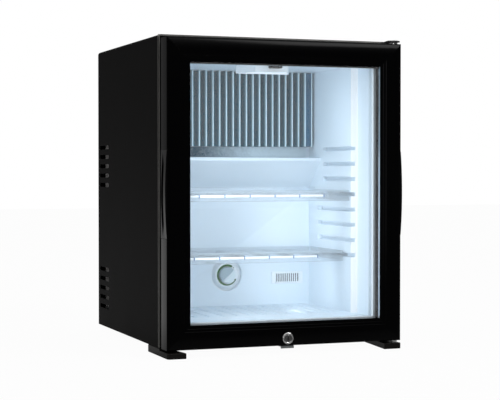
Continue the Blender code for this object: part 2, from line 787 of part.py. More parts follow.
def door_switch():
    """Half-round switch body hung from the ceiling and the sprung plunger that the door faces."""
    top = CAVITY_TOP - FIT_GAP
    plunger_z = top - PLUNGER_DROP
    outline = [(SWITCH_HALF_WIDTH, top), (-SWITCH_HALF_WIDTH, top)]
    for step in range(1, 12):
        angle = math.pi * step / 12
        outline.append((-SWITCH_HALF_WIDTH * math.cos(angle), top - SWITCH_HEIGHT * math.sin(angle)))
    body = prism("Y", [outline], SWITCH_FRONT, SWITCH_REAR)
    tip = DOOR_REAR + FIT_GAP
    length = SWITCH_FRONT + 0.011 - tip
    bore_end = tip + length + PLUNGER_TRAVEL + FIT_GAP
    cut(body, rod("Y", (0.0, plunger_z), PLUNGER_RADIUS + FIT_GAP, SWITCH_FRONT - 0.001, bore_end, 16))
    finish(body, "door_switch_body", "black_plastic")
    pivot = make_empty("switch_press", (0.0, tip, plunger_z), DATUM)
    plunger = turned([(0.0, length), (PLUNGER_RADIUS * 0.6, length),
                      (PLUNGER_RADIUS, length - 0.001), (PLUNGER_RADIUS, 0.0), (0.0, 0.0)],
                     (0.0, tip + length, plunger_z), "-Y", 16)
    finish(plunger, "switch_plunger", "black_plastic", pivot)


# Thermostat and sensor

def thermostat():
    floor = CAVITY_DEPTH + DIAL_RECESS_DEPTH
    dial_front = floor - FIT_GAP - DIAL_THICKNESS
    bore = SPINDLE_RADIUS + FIT_GAP
    radius = DIAL_RECESS_RADIUS - FIT_GAP
    dial = turned([(radius - 0.0006, DIAL_THICKNESS), (radius, DIAL_THICKNESS - 0.0006),
                   (radius, 0.0), (bore, 0.0), (bore, DIAL_THICKNESS)],
                  (THERMOSTAT_X, floor - FIT_GAP, THERMOSTAT_Z), "-Y", 32, loop=True)
    finish(dial, "thermostat_dial", "white_plastic")

    width, depth, height = THERMOSTAT_BODY
    start = floor + LINER_WALL + FIT_GAP
    body = box((THERMOSTAT_X - width / 2, start, THERMOSTAT_Z - height / 2),
               (THERMOSTAT_X + width / 2, start + depth, THERMOSTAT_Z + height / 2))
    bevel(body, 0.0015)
    cut(body, rod("Y", (THERMOSTAT_X, THERMOSTAT_Z), bore, start - 0.001, start + depth * 0.7, 16))
    finish(body, "thermostat_body", "grey_plastic")

    pivot = make_empty("thermostat_turn", (THERMOSTAT_X, dial_front, THERMOSTAT_Z), DATUM)
    profile = [(0.0, KNOB_LENGTH), (KNOB_RADIUS - 0.0020, KNOB_LENGTH),
               (KNOB_RADIUS - 0.0008, KNOB_LENGTH - 0.0008), (KNOB_RADIUS, 0.0),
               (SPINDLE_RADIUS, 0.0), (SPINDLE_RADIUS, -SPINDLE_LENGTH), (0.0, -SPINDLE_LENGTH)]
    seat = dial_front - FIT_GAP
    knob = turned(profile, (THERMOSTAT_X, seat, THERMOSTAT_Z), "-Y", 32)
    front = seat - KNOB_LENGTH
    grip = prism("Y", [stadium((-KNOB_RADIUS + 0.0025, -KNOB_GRIP_WIDTH / 2),
                               (KNOB_RADIUS - 0.0025, KNOB_GRIP_WIDTH / 2))],
                 front - KNOB_GRIP_HEIGHT, front + 0.001)
    grip.matrix_world = (Matrix.Translation((THERMOSTAT_X, 0.0, THERMOSTAT_Z))
                         @ Matrix.Rotation(-math.radians(KNOB_GRIP_ANGLE), 4, "Y") @ grip.matrix_world)
    join(knob, grip)
    finish(knob, "thermostat_knob", "knob_plastic", pivot)


def sensor_cover():
    """Slotted cover over a pocket in the back wall, with the sensor lying in the pocket."""
    rear = CAVITY_DEPTH - FIT_GAP
    high = (SENSOR_LOW[0] + SENSOR_SIZE[0], SENSOR_LOW[1] + SENSOR_SIZE[1])
    middle = ((SENSOR_LOW[0] + high[0]) / 2, (SENSOR_LOW[1] + high[1]) / 2)
    loops = [rectangle(SENSOR_LOW, high)]
    for index in range(SENSOR_SLOTS):
        x = middle[0] + (index - (SENSOR_SLOTS - 1) / 2) * SENSOR_SLOT_PITCH
        loops.append(rectangle((x - SENSOR_SLOT_WIDTH / 2, middle[1] - SENSOR_SLOT_HEIGHT / 2),
                               (x + SENSOR_SLOT_WIDTH / 2, middle[1] + SENSOR_SLOT_HEIGHT / 2)))
    cover = prism("Y", loops, rear - SENSOR_COVER, rear)
    finish(cover, "sensor_cover", "white_plastic")
    radius = 0.0025
    seat = CAVITY_DEPTH + SENSOR_POCKET_DEPTH - FIT_GAP - radius
    sensor = rod("X", (seat, middle[1]), radius, middle[0] - 0.016, middle[0] + 0.016, 12)
    finish(sensor, "temperature_sensor", "grey_plastic")


# Shelves

def shelf(name, level, front):
    """Clear tray with a skirt at front and rear, ribs under its deck and a runner at each side."""
    half = CAVITY_HALF - SHELF_SIDE_GAP
    middle = groove_level(level)
    deck_low = SHELF_DECK_TOP - SHELF_DECK
    rear = SHELF_DEPTH - SHELF_WALL
    section = [(0.0, -SHELF_SKIRT), (SHELF_WALL, -SHELF_SKIRT), (SHELF_WALL, deck_low),
               (rear, deck_low), (rear, -SHELF_SKIRT), (SHELF_DEPTH, -SHELF_SKIRT),
               (SHELF_DEPTH, SHELF_LIP), (rear, SHELF_LIP), (rear, SHELF_DECK_TOP),
               (SHELF_WALL, SHELF_DECK_TOP), (SHELF_WALL, SHELF_LIP), (0.0, SHELF_LIP)]
    outline = [(front + y, middle + z) for y, z in section]
    tray = prism("X", [outline], -half, half)
    ribs = []
    for index in range(SHELF_RIBS):
        x = (index - (SHELF_RIBS - 1) / 2) * SHELF_RIB_PITCH
        ribs.append(box((x - 0.001, front + 0.001, middle - 0.003),
                        (x + 0.001, front + SHELF_DEPTH - 0.001, middle + deck_low + 0.001)))
    lug_half = GROOVE_HEIGHT / 2 - FIT_GAP
    reach = CAVITY_HALF + GROOVE_DEPTH - 2 * FIT_GAP
    lugs = [box((min(side * reach, side * (half - 0.004)), front + 0.002, middle - lug_half),
                (max(side * reach, side * (half - 0.004)), front + 0.002 + SHELF_LUG_LENGTH,
                 middle + lug_half)) for side in (-1, 1)]
    join(tray, group(ribs), group(lugs))
    pivot = make_empty(name + "_slide", (0.0, front, middle), DATUM)
    finish(tray, name, "clear_plastic", pivot)


# Door

def member_profile():
    """Section of a frame member: inset from the door's edge, and depth behind the door's front."""
    points = [(REAR_CHAMFER_INSET, DOOR_THICKNESS), (0.0, DOOR_THICKNESS - REAR_CHAMFER_DEPTH)]
    for step in range(7):
        angle = math.radians(90 * step / 6)
        points.append((MEMBER_CROWN_WIDTH * (1 - math.cos(angle)),
                       MEMBER_CROWN_DEPTH * (1 - math.sin(angle))))
    depth = 0.0
    for distance in RIDGE_DISTANCES:
        start = MEMBER_WIDTH - distance
        points += [(start, depth), (start + RIDGE_SLOPE, depth + RIDGE_DROP)]
        depth += RIDGE_DROP
    lip_rear = GLASS_RECESS - FIT_GAP
    pocket = GLASS_INSET - FIT_GAP
    points += [(MEMBER_WIDTH, depth), (MEMBER_WIDTH, lip_rear), (pocket, lip_rear),
               (pocket, GLAZING_DEPTH + FIT_GAP), (BEAD_INSET, GLAZING_DEPTH + FIT_GAP),
               (BEAD_INSET, BEAD_DEPTH), (SKIN_WIDTH, BEAD_DEPTH), (SKIN_WIDTH, DOOR_THICKNESS)]
    return points


def door_ring(profile):
    """A closed frame of one section round the door, mitred at the corners."""
    corners = []
    for side, level in ((-1, 0), (1, 0), (1, 1), (-1, 1)):
        corners.append([(side * (HALF_WIDTH - inset), DOOR_FRONT + depth,
                         DOOR_TOP - inset if level else DOOR_BOTTOM + inset)
                        for inset, depth in profile])
    return loft(corners, closed=True)


def grip_bounds():
    low = GRIP_CENTRE - GRIP_HEIGHT / 2
    return low, low + GRIP_HEIGHT


def stile(side):
    low_end = [(side * (HALF_WIDTH - inset), DOOR_FRONT + depth, DOOR_BOTTOM + inset + MITRE_GAP)
               for inset, depth in member_profile()]
    high_end = [(side * (HALF_WIDTH - inset), DOOR_FRONT + depth, DOOR_TOP - inset - MITRE_GAP)
                for inset, depth in member_profile()]
    post = loft([low_end, high_end])
    low, high = grip_bounds()
    edge = side * (HALF_WIDTH + 0.01)
    inner = side * (HALF_WIDTH - GRIP_DEPTH)
    front = DOOR_FRONT + GRIP_FRONT
    pocket = box((min(edge, inner), front, low), (max(edge, inner), front + GRIP_LENGTH, high))
    return cut(post, pocket)


def rail(upper):
    level = DOOR_TOP if upper else DOOR_BOTTOM
    way = -1 if upper else 1
    ends = []
    for side in (-1, 1):
        ends.append([(side * (HALF_WIDTH - inset - MITRE_GAP), DOOR_FRONT + depth, level + way * inset)
                     for inset, depth in member_profile()])
    return loft(ends)


def side_grip(side):
    """Moulded cup let into the door's edge: a bowed lip in front and a finger hollow behind it."""
    low, high = grip_bounds()
    low, high = low + FIT_GAP, high - FIT_GAP
    half = (high - low) / 2
    middle = (high + low) / 2
    radius = (half * half + GRIP_BULGE * GRIP_BULGE) / (2 * GRIP_BULGE)
    spread = math.degrees(math.asin(half / radius))
    bow = arc((HALF_WIDTH + GRIP_BULGE - radius, middle), radius, -spread, spread, 12)
    inner = HALF_WIDTH - GRIP_DEPTH + FIT_GAP
    outline = [(side * x, z) for x, z in [(inner, low)] + bow + [(inner, high)]]
    front = DOOR_FRONT + GRIP_FRONT + FIT_GAP
    rear = front + GRIP_LENGTH - 2 * FIT_GAP
    grip = prism("Y", [outline], front, rear)
    lip_rear = front + GRIP_LIP
    past = side * (HALF_WIDTH + 0.01)
    edge = side * HALF_WIDTH
    flush = box((min(edge, past), lip_rear, low - 0.01), (max(edge, past), rear + 0.01, high + 0.01))
    lens_half = half - FINGER_MARGIN
    lens_radius = (lens_half ** 2 + (FINGER_WIDTH / 2) ** 2) / FINGER_WIDTH
    angle = math.degrees(math.asin(lens_half / lens_radius))
    centre = lip_rear + FINGER_WIDTH / 2
    shift = lens_radius - FINGER_WIDTH / 2
    right = arc((centre - shift, middle), lens_radius, -angle, angle, 10)
    left = arc((centre + shift, middle), lens_radius, 180 - angle, 180 + angle, 10)
    floor = side * (HALF_WIDTH - FINGER_DEPTH)
    hollow = prism("X", [right[:-1] + left[:-1]], min(floor, past), max(floor, past))
    return cut(grip, flush, hollow)


def glazing():
    inset = GLASS_INSET
    half = HALF_WIDTH - inset
    for name, start in (("outer_glass", GLASS_RECESS), ("inner_glass", INNER_PANE)):
        pane = box((-half, DOOR_FRONT + start, DOOR_BOTTOM + inset),
                   (half, DOOR_FRONT + start + PANE, DOOR_TOP - inset))
        finish(pane, name, "glass", DOOR)
    front = GLASS_RECESS + PANE + FIT_GAP
    rear = INNER_PANE - FIT_GAP
    outer = SPACER_INSET
    spacer = door_ring([(outer, front), (outer + SPACER_WIDTH, front),
                        (outer + SPACER_WIDTH, rear), (outer, rear)])
    finish(spacer, "glazing_spacer", "aluminium", DOOR)
    sealant = door_ring([(inset + FIT_GAP, front), (outer - FIT_GAP, front),
                         (outer - FIT_GAP, rear), (inset + FIT_GAP, rear)])
    finish(sealant, "glazing_sealant", "black_rubber", DOOR)


def inner_frame_and_gasket():
    front = BEAD_DEPTH + FIT_GAP
    middle = GASKET_INSET + GASKET_WIDTH / 2
    groove = GASKET_DART / 2 + FIT_GAP
    floor = DOOR_THICKNESS - GASKET_DART_LENGTH
    frame = door_ring([(SKIN_WIDTH + FIT_GAP, front), (INNER_FRAME_INSET, front),
                       (INNER_FRAME_INSET, DOOR_THICKNESS - 0.002),
                       (INNER_FRAME_INSET - 0.002, DOOR_THICKNESS), (middle + groove, DOOR_THICKNESS),
                       (middle + groove, floor), (middle - groove, floor),
                       (middle - groove, DOOR_THICKNESS), (SKIN_WIDTH + FIT_GAP, DOOR_THICKNESS)])
    finish(frame, "inner_door_frame", "white_plastic", DOOR)

    dart = GASKET_DART / 2
    foot = DOOR_THICKNESS + FIT_GAP
    face = DOOR_THICKNESS + DOOR_GAP - FIT_GAP
    waist = foot + 0.0025
    bulb = GASKET_WIDTH / 2 - 0.0025
    magnet = bulb - 0.0023
    pocket = face - 0.0034
    gasket = door_ring([
        (GASKET_INSET, foot), (middle - dart, foot), (middle - dart, floor + FIT_GAP),
        (middle + dart, floor + FIT_GAP), (middle + dart, foot), (GASKET_INSET + GASKET_WIDTH, foot),
        (GASKET_INSET + GASKET_WIDTH, foot + 0.001), (middle + bulb, waist), (middle + bulb, face),
        (middle + magnet, face), (middle + magnet, pocket), (middle - magnet, pocket),
        (middle - magnet, face), (middle - bulb, face), (middle - bulb, waist),
        (GASKET_INSET, foot + 0.001)])
    finish(gasket, "door_gasket", "white_rubber", DOOR)
    strip = door_ring([
        (middle - magnet + FIT_GAP, pocket + FIT_GAP), (middle + magnet - FIT_GAP, pocket + FIT_GAP),
        (middle + magnet - FIT_GAP, face - FIT_GAP), (middle - magnet + FIT_GAP, face - FIT_GAP)])
    finish(strip, "magnet_strip", "black_rubber", DOOR)


def door():
    """Mitred frame, double glazing, inner frame, gasket, grips and bushes."""
    holes = []
    bore = PIN_RADIUS + PIN_CLEARANCE
    for name, low, high, way in (
            ("lower_hinge_bush", DOOR_BOTTOM, DOOR_BOTTOM + BUSH_LENGTH, -1),
            ("upper_hinge_bush", DOOR_TOP - BUSH_LENGTH, DOOR_TOP, 1)):
        start = low - (0.005 if way < 0 else FIT_GAP)
        end = high + (0.005 if way > 0 else FIT_GAP)
        holes.append(rod("Z", (HINGE_X, HINGE_Y), BUSH_RADIUS + FIT_GAP, start, end, 20))
        bush = turned([(BUSH_RADIUS, high), (BUSH_RADIUS, low), (bore, low), (bore, high)],
                      (HINGE_X, HINGE_Y, 0.0), "+Z", 20, loop=True)
        finish(bush, name, "white_plastic", DOOR)
    bush_hole = group(holes)

    finish(stile(-1), "left_stile", "door_gloss", DOOR)
    finish(cut(stile(1), bush_hole), "right_stile", "door_gloss", DOOR)
    finish(cut(rail(True), bush_hole), "top_rail", "door_gloss", DOOR)
    finish(cut(rail(False), bush_hole, *lock_cutters()), "bottom_rail", "door_gloss", DOOR)
    finish(side_grip(-1), "left_grip", "grip_plastic", DOOR)
    finish(side_grip(1), "right_grip", "grip_plastic", DOOR)
    glazing()
    inner_frame_and_gasket()


# Lock

def lock_cutters():
    """Hole for the barrel and the slot in which the cam swings, open at the door's underside."""
    barrel = rod("Y", (0.0, LOCK_Z), LOCK_BARREL_RADIUS + FIT_GAP, DOOR_FRONT - 0.01,
                 DOOR_FRONT + CAM_FRONT - 0.0002, 24)
    side = CAM_RADIUS + 0.0015
    reach = CAM_REACH + CAM_RADIUS + 0.0015
    slot = box((-side, DOOR_FRONT + CAM_FRONT - 0.0008, DOOR_BOTTOM - 0.01),
               (reach, DOOR_FRONT + CAM_FRONT + CAM_SHEET + 0.0008, LOCK_Z + side))
    nose = rod("Y", (0.0, LOCK_Z), PLUG_STUB_RADIUS + 0.0012, DOOR_FRONT + CAM_FRONT,
               DOOR_FRONT + CAM_FRONT + CAM_SHEET + 0.004, 16)
    return barrel, slot, nose


def lock():
    """Chrome housing, keyed plug and the cam that drops into the keeper under the door."""
    bore = PLUG_RADIUS + FIT_GAP
    length = LOCK_BARREL_LENGTH
    start = DOOR_FRONT - FIT_GAP
    rise = LOCK_FLANGE - FIT_GAP
    profile = [(bore, rise), (LOCK_FLANGE_RADIUS - 0.0012, rise), (LOCK_FLANGE_RADIUS, rise - 0.0009),
               (LOCK_FLANGE_RADIUS, 0.0), (LOCK_BARREL_RADIUS, 0.0), (LOCK_BARREL_RADIUS, -length),
               (bore, -length)]
    housing = turned(profile, (0.0, start, LOCK_Z), "-Y", 32, loop=True)
    finish(housing, "lock_housing", "chrome", DOOR)

    pivot = make_empty("lock_turn", (-HINGE_X, DOOR_FRONT - HINGE_Y, LOCK_Z), DOOR)
    front = rise - 0.0004
    neck = -length - 0.0008
    stub = neck - CAM_SHEET - 0.0028
    plug = turned([(0.0, front), (PLUG_RADIUS - 0.0006, front), (PLUG_RADIUS, front - 0.0006),
                   (PLUG_RADIUS, neck), (PLUG_STUB_RADIUS, neck), (PLUG_STUB_RADIUS, stub),
                   (0.0, stub)], (0.0, start, LOCK_Z), "-Y", 24)
    keyway = box((-KEYWAY[0] / 2, start - LOCK_FLANGE, LOCK_Z - KEYWAY[1] / 2),
                 (KEYWAY[0] / 2, start + 0.006, LOCK_Z + KEYWAY[1] / 2))
    cut(plug, keyway)
    ride(finish(plug, "lock_plug", "chrome", DOOR), pivot)

    hole = arc((0.0, LOCK_Z), PLUG_STUB_RADIUS + FIT_GAP, 0, 350, 15)
    tip = arc((CAM_REACH, LOCK_Z), CAM_RADIUS, -90, 90, 8)
    root = arc((0.0, LOCK_Z), CAM_RADIUS + 0.001, 100, 260, 8)
    cam = prism("Y", [tip + root, hole], DOOR_FRONT + CAM_FRONT, DOOR_FRONT + CAM_FRONT + CAM_SHEET)
    ride(finish(cam, "lock_cam", "galvanised", DOOR), pivot)


def ride(obj, pivot):
    """Move a finished door piece from the door's pivot to one that turns on the door."""
    obj.parent = pivot
    obj.matrix_parent_inverse = Matrix.Translation(-(DOOR.location + pivot.location))
    return obj


def lock_keeper():
    """Strap under the cabinet that reaches forward below the door, slotted for the cam."""
    top = -FIT_GAP
    low = top - KEEPER_SHEET
    cam_y = DOOR_FRONT + CAM_FRONT
    slot_front = cam_y - 0.0016
    nose = slot_front - KEEPER_NOSE + 0.0015
    lip = top - KEEPER_LIP
    section = [(nose, lip), (nose + KEEPER_SHEET, lip), (nose + KEEPER_SHEET, low),
               (KEEPER_REAR, low), (KEEPER_REAR, top), (nose, top)]
    keeper = prism("X", [section], KEEPER_LEFT, KEEPER_RIGHT)
    sweep = math.sqrt((CAM_REACH + CAM_RADIUS) ** 2 - (LOCK_Z - top) ** 2)
    slot = box((-CAM_RADIUS - KEEPER_CLEARANCE, slot_front, low - 0.001),
               (sweep + KEEPER_CLEARANCE, cam_y + CAM_SHEET + 0.0016, top + 0.001))
    holes = [rod("Z", ((KEEPER_LEFT + KEEPER_RIGHT) / 2, y), SCREW_HOLE_RADIUS, low - 0.001,
                 top + 0.001, 10) for y in (0.012, 0.026)]
    cut(keeper, slot, group(holes))
    finish(keeper, "lock_keeper", "galvanised")


# Feet and hinges

def front_foot(side):
    """Block under the cabinet with a tongue that runs forward below the door."""
    outer = HALF_WIDTH
    corner = arc((outer - FOOT_CORNER, FOOT_FRONT + FOOT_CORNER), FOOT_CORNER, 0, -90, 4)
    outline = ([(outer, FOOT_REAR)] + corner
               + [(outer - FOOT_FRONT_WIDTH, FOOT_FRONT), (outer - FOOT_REAR_WIDTH, FOOT_REAR)])
    outline = [(side * x, y) for x, y in outline]
    foot = prism("Z", [outline], -FOOT_HEIGHT, -FIT_GAP)
    step = box((-HALF_WIDTH - 0.01, FOOT_FRONT - 0.01, -TONGUE_DROP),
               (HALF_WIDTH + 0.01, TONGUE_REAR, 0.01))
    return cut(foot, step)


def feet():
    finish(front_foot(-1), "left_front_foot", "foot_plastic")
    right = front_foot(1)
    cut(right, rod("Z", (HINGE_X, HINGE_Y), PIN_RADIUS + PIN_CLEARANCE, -FOOT_HEIGHT - 0.01,
                   0.0, 20))
    finish(right, "right_front_foot", "foot_plastic")
    for side, name in ((-1, "left_rear_foot"), (1, "right_rear_foot")):
        profile = [(0.0, -FIT_GAP), (REAR_FOOT_RADIUS - 0.002, -FIT_GAP),
                   (REAR_FOOT_RADIUS, -FOOT_HEIGHT + 0.002), (REAR_FOOT_RADIUS - 0.0015, -FOOT_HEIGHT),
                   (0.0, -FOOT_HEIGHT)]
        foot = turned(profile, (side * REAR_FOOT_PLACE[0], REAR_FOOT_PLACE[1], 0.0))
        finish(foot, name, "foot_plastic")


def hinges():
    """Pins at foot and head of the door and the bracket that holds the upper one."""
    arm_top = CABINET_HEIGHT - BRACKET_TOP_DROP
    arm_low = arm_top - BRACKET_SHEET
    lower = turned([(0.0, DOOR_BOTTOM + PIN_ENGAGEMENT), (PIN_RADIUS, DOOR_BOTTOM + PIN_ENGAGEMENT),
                    (PIN_RADIUS, DOOR_BOTTOM - FIT_GAP), (PIN_COLLAR, DOOR_BOTTOM - FIT_GAP),
                    (PIN_COLLAR, FIT_GAP - TONGUE_DROP), (PIN_RADIUS, FIT_GAP - TONGUE_DROP),
                    (PIN_RADIUS, 0.0005 - FOOT_HEIGHT), (0.0, 0.0005 - FOOT_HEIGHT)],
                   (HINGE_X, HINGE_Y, 0.0), "+Z", 20)
    head = arm_top + FIT_GAP
    upper = turned([(0.0, head + PIN_HEAD), (PIN_COLLAR - 0.0008, head + PIN_HEAD),
                    (PIN_COLLAR, head + PIN_HEAD / 2), (PIN_COLLAR, head), (PIN_RADIUS, head),
                    (PIN_RADIUS, arm_low - FIT_GAP), (PIN_COLLAR, arm_low - FIT_GAP),
                    (PIN_COLLAR, DOOR_TOP + FIT_GAP), (PIN_RADIUS, DOOR_TOP + FIT_GAP),
                    (PIN_RADIUS, DOOR_TOP - PIN_ENGAGEMENT), (0.0, DOOR_TOP - PIN_ENGAGEMENT)],
                   (HINGE_X, HINGE_Y, 0.0), "+Z", 20)
    finish(lower, "lower_hinge_pin", "chrome")
    finish(upper, "upper_hinge_pin", "chrome")

    outer = HALF_WIDTH - 0.001
    nose = HINGE_Y - 0.0095
    arm = prism("Z", [[(outer, -FIT_GAP), (BRACKET_LEG_INNER_X, -FIT_GAP), (BRACKET_INNER_X, nose + 0.003),
                       (BRACKET_INNER_X + 0.003, nose), (outer - 0.003, nose), (outer, nose + 0.003)]],
                arm_low, arm_top)
    leg = box((BRACKET_LEG_INNER_X, -FIT_GAP - BRACKET_SHEET, arm_top - BRACKET_LEG),
              (outer, -FIT_GAP, arm_top))
    holes = [rod("Y", ((BRACKET_LEG_INNER_X + outer) / 2, arm_top - BRACKET_LEG + drop),
                 SCREW_HOLE_RADIUS, -0.01, 0.001, 10) for drop in (0.006, 0.018)]
    pin_hole = rod("Z", (HINGE_X, HINGE_Y), PIN_RADIUS + FIT_GAP, arm_low - 0.001, arm_top + 0.001, 20)
    join(arm, leg)
    cut(arm, pin_hole, group(holes))
    finish(arm, "top_hinge_bracket", "black_steel")


# Absorption cooling unit

def boiler():
    heater_x = BOILER_X - HEATER_OFFSET
    jacket = turned([(JACKET_RADIUS - 0.002, JACKET_TOP), (JACKET_RADIUS, JACKET_TOP - 0.002),
                     (JACKET_RADIUS, JACKET_BOTTOM + 0.002), (JACKET_RADIUS - 0.002, JACKET_BOTTOM),
                     (BOILER_RADIUS + FIT_GAP, JACKET_BOTTOM), (BOILER_RADIUS + FIT_GAP, JACKET_TOP)],
                    (BOILER_X, UNIT_Y, 0.0), "+Z", 28, loop=True)
    cut(jacket, rod("Z", (heater_x, UNIT_Y), HEATER_RADIUS + FIT_GAP, JACKET_BOTTOM - 0.01,
                    HEATER_TOP + FIT_GAP, 16))
    finish(jacket, "boiler_jacket", "galvanised")
    finish(rod("Z", (BOILER_X, UNIT_Y), BOILER_RADIUS, BOILER_BOTTOM, BOILER_TOP, 20),
           "boiler_tube", "black_steel")
    finish(rod("Z", (heater_x, UNIT_Y), HEATER_RADIUS, HEATER_BOTTOM, HEATER_TOP, 16),
           "heating_element", "chrome")


def condenser():
    """Riser from the boiler, finned cross run under the roof, and drop to the evaporator tube."""
    right = EVAPORATOR_HALF_SPAN
    entry = PANEL_REAR + 0.013 + FIT_GAP
    path = bend_path([(BOILER_X, UNIT_Y, BOILER_TOP + FIT_GAP), (BOILER_X, UNIT_Y, CONDENSER_Z),
                      (right, UNIT_Y, CONDENSER_Z), (right, UNIT_Y, EVAPORATOR_TUBE_HEIGHT),
                      (right, entry, EVAPORATOR_TUBE_HEIGHT)], 0.018)
    finish(tube(path, UNIT_TUBE_RADIUS, 3), "condenser_tube", "black_steel")
    sheet, depth, height = CONDENSER_FIN_SIZE
    run = (CONDENSER_FINS - 1) * CONDENSER_FIN_PITCH
    first = (BOILER_X + right - run) / 2
    bore = UNIT_TUBE_RADIUS + FIT_GAP
    collar = rod("X", (UNIT_Y, CONDENSER_Z), bore + CONDENSER_COLLAR, first, first + run + sheet, 16)
    fins = []
    for index in range(CONDENSER_FINS):
        x = first + index * CONDENSER_FIN_PITCH
        fins.append(box((x, UNIT_Y - depth / 2, CONDENSER_Z - height / 2),
                        (x + sheet, UNIT_Y + depth / 2, CONDENSER_Z + height / 2)))
    join(collar, group(fins))
    cut(collar, rod("X", (UNIT_Y, CONDENSER_Z), bore, first - 0.01, first + run + 0.01, 16))
    finish(collar, "condenser_fins", "aluminium")


def coil_path():
    """Zigzag of straight passes and half-round ends, climbing from the vessel to the exchanger."""
    top = VESSEL_Z + VESSEL_RADIUS + FIT_GAP
    radius = COIL_RISE / 2
    level = top + 0.020
    inlet = COIL_RIGHT
    points = [(inlet, top)]
    points += arc((inlet - 0.014, level - 0.014 + 0.0001), 0.014, 0, 90, 4)
    for index in range(COIL_PASSES - 1):
        leftward = index % 2 == 0
        end = COIL_LEFT if leftward else COIL_RIGHT - 0.014
        centre = (end, level + radius)
        points += arc(centre, radius, -90, -270 if leftward else 90, 6)
        level += COIL_RISE
    points.append((-EVAPORATOR_HALF_SPAN + EXCHANGER_RADIUS + FIT_GAP, level))
    return [(x, UNIT_Y, z) for x, z in points]


def absorber():
    vessel_top = VESSEL_Z + VESSEL_RADIUS + FIT_GAP
    left = -EVAPORATOR_HALF_SPAN
    entry = PANEL_REAR + 0.013 + FIT_GAP
    exchanger = bend_path([(left, entry, EVAPORATOR_TUBE_HEIGHT), (left, UNIT_Y, EVAPORATOR_TUBE_HEIGHT),
                           (left, UNIT_Y, vessel_top)], 0.020)
    finish(tube(exchanger, EXCHANGER_RADIUS, 3), "gas_heat_exchanger", "black_steel")
    finish(tube(coil_path(), COIL_RADIUS), "absorber_coil", "black_steel")
    length = VESSEL_RIGHT - VESSEL_LEFT
    dome = [(VESSEL_RADIUS * math.sin(math.radians(angle)), 0.010 * math.cos(math.radians(angle)))
            for angle in (0, 30, 60, 90)]
    profile = [(radius, length - 0.010 + rise) for radius, rise in dome]
    profile += [(radius, 0.010 - rise) for radius, rise in reversed(dome)]
    vessel = turned(profile, (VESSEL_LEFT, UNIT_Y, VESSEL_Z), "+X", 24)
    finish(vessel, "absorber_vessel", "black_steel")
    solution = bend_path([(VESSEL_LEFT - FIT_GAP, UNIT_Y, VESSEL_Z), (BOILER_X, UNIT_Y, VESSEL_Z),
                          (BOILER_X, UNIT_Y, BOILER_BOTTOM - FIT_GAP)], 0.009)
    finish(tube(solution, SOLUTION_RADIUS), "liquid_heat_exchanger", "black_steel")


def unit_strap():
    """Strap behind the boiler jacket with a flange against each side of the shell."""
    front = UNIT_Y + JACKET_RADIUS + FIT_GAP
    rear = front + STRAP_SHEET
    outer, inner = INNER_HALF, INNER_HALF - STRAP_SHEET
    toe = rear - STRAP_FLANGE
    outline = [(-outer, toe), (-inner, toe), (-inner, front), (inner, front), (inner, toe),
               (outer, toe), (outer, rear), (-outer, rear)]
    finish(prism("Z", [outline], STRAP_Z, STRAP_Z + STRAP_HEIGHT), "unit_strap", "galvanised")


def junction_box():
    """Terminal box on the bottom panel, with the gland that the supply lead would enter."""
    base = SHELL_SHEET + FIT_GAP
    width, depth, height = BOX_SIZE
    rear = BOX_LOW[1] + depth
    body = box((BOX_LOW[0], BOX_LOW[1], base), (BOX_LOW[0] + width, rear, base + height))
    finish(bevel(body, 0.002), "junction_box", "black_plastic")
    nut = GLAND_RADIUS + 0.002
    bore = GLAND_RADIUS - 0.0035
    profile = [(GLAND_RADIUS - 0.0015, GLAND_LENGTH), (GLAND_RADIUS, GLAND_LENGTH - 0.010), (nut, 0.007),
               (nut, 0.0), (bore, 0.0), (bore, GLAND_LENGTH)]
    gland = turned(profile, (GLAND_X, rear + FIT_GAP, base + height / 2), "+Y", 16, loop=True)
    finish(gland, "cable_gland", "black_plastic")


clear_scene()
PARTS = make_collection("minibar")
CUTTERS = make_collection("cutters")
MATERIALS = {
    "cabinet_paint": make_material("cabinet_paint", (0.012, 0.012, 0.012), 0.55),
    "door_gloss": make_material("door_gloss", (0.004, 0.004, 0.005), 0.12),
    "grip_plastic": make_material("grip_plastic", (0.008, 0.008, 0.009), 0.35),
    "foot_plastic": make_material("foot_plastic", (0.010, 0.009, 0.009), 0.50),
    "white_liner": make_material("white_liner", (0.80, 0.88, 0.94), 0.30),
    "white_plastic": make_material("white_plastic", (0.82, 0.88, 0.92), 0.40),
    "white_rubber": make_material("white_rubber", (0.75, 0.78, 0.80), 0.60),
    "black_rubber": make_material("black_rubber", (0.012, 0.012, 0.014), 0.70),
    "black_plastic": make_material("black_plastic", (0.010, 0.012, 0.014), 0.40),
    "grey_plastic": make_material("grey_plastic", (0.35, 0.36, 0.37), 0.50),
    "knob_plastic": make_material("knob_plastic", (0.66, 0.78, 0.84), 0.35),
    "foam": make_material("foam", (0.85, 0.72, 0.42), 0.90),
    "circuit_board": make_material("circuit_board", (0.05, 0.22, 0.10), 0.50),
    "lamp_lens": make_material("lamp_lens", (0.95, 0.97, 1.0), 0.25, transmission=0.6),
    "clear_plastic": make_material("clear_plastic", (0.90, 0.95, 1.0), 0.08, alpha=0.5, transmission=0.9),
    "glass": make_material("glass", (0.95, 0.98, 1.0), 0.02, alpha=0.35, transmission=1.0),
    "aluminium": make_material("aluminium", (0.62, 0.70, 0.76), 0.35, 1.0),
    "galvanised": make_material("galvanised", (0.55, 0.57, 0.58), 0.40, 1.0),
    "chrome": make_material("chrome", (0.80, 0.80, 0.80), 0.12, 1.0),
    "dark_steel": make_material("dark_steel", (0.10, 0.11, 0.12), 0.35, 1.0),
    "black_steel": make_material("black_steel", (0.015, 0.015, 0.016), 0.50),
}
DATUM = make_empty("cabinet_datum", (0.0, -DEPTH_CENTRE, FOOT_HEIGHT))
DOOR = make_empty("door_hinge", (HINGE_X, HINGE_Y, 0.0), DATUM)

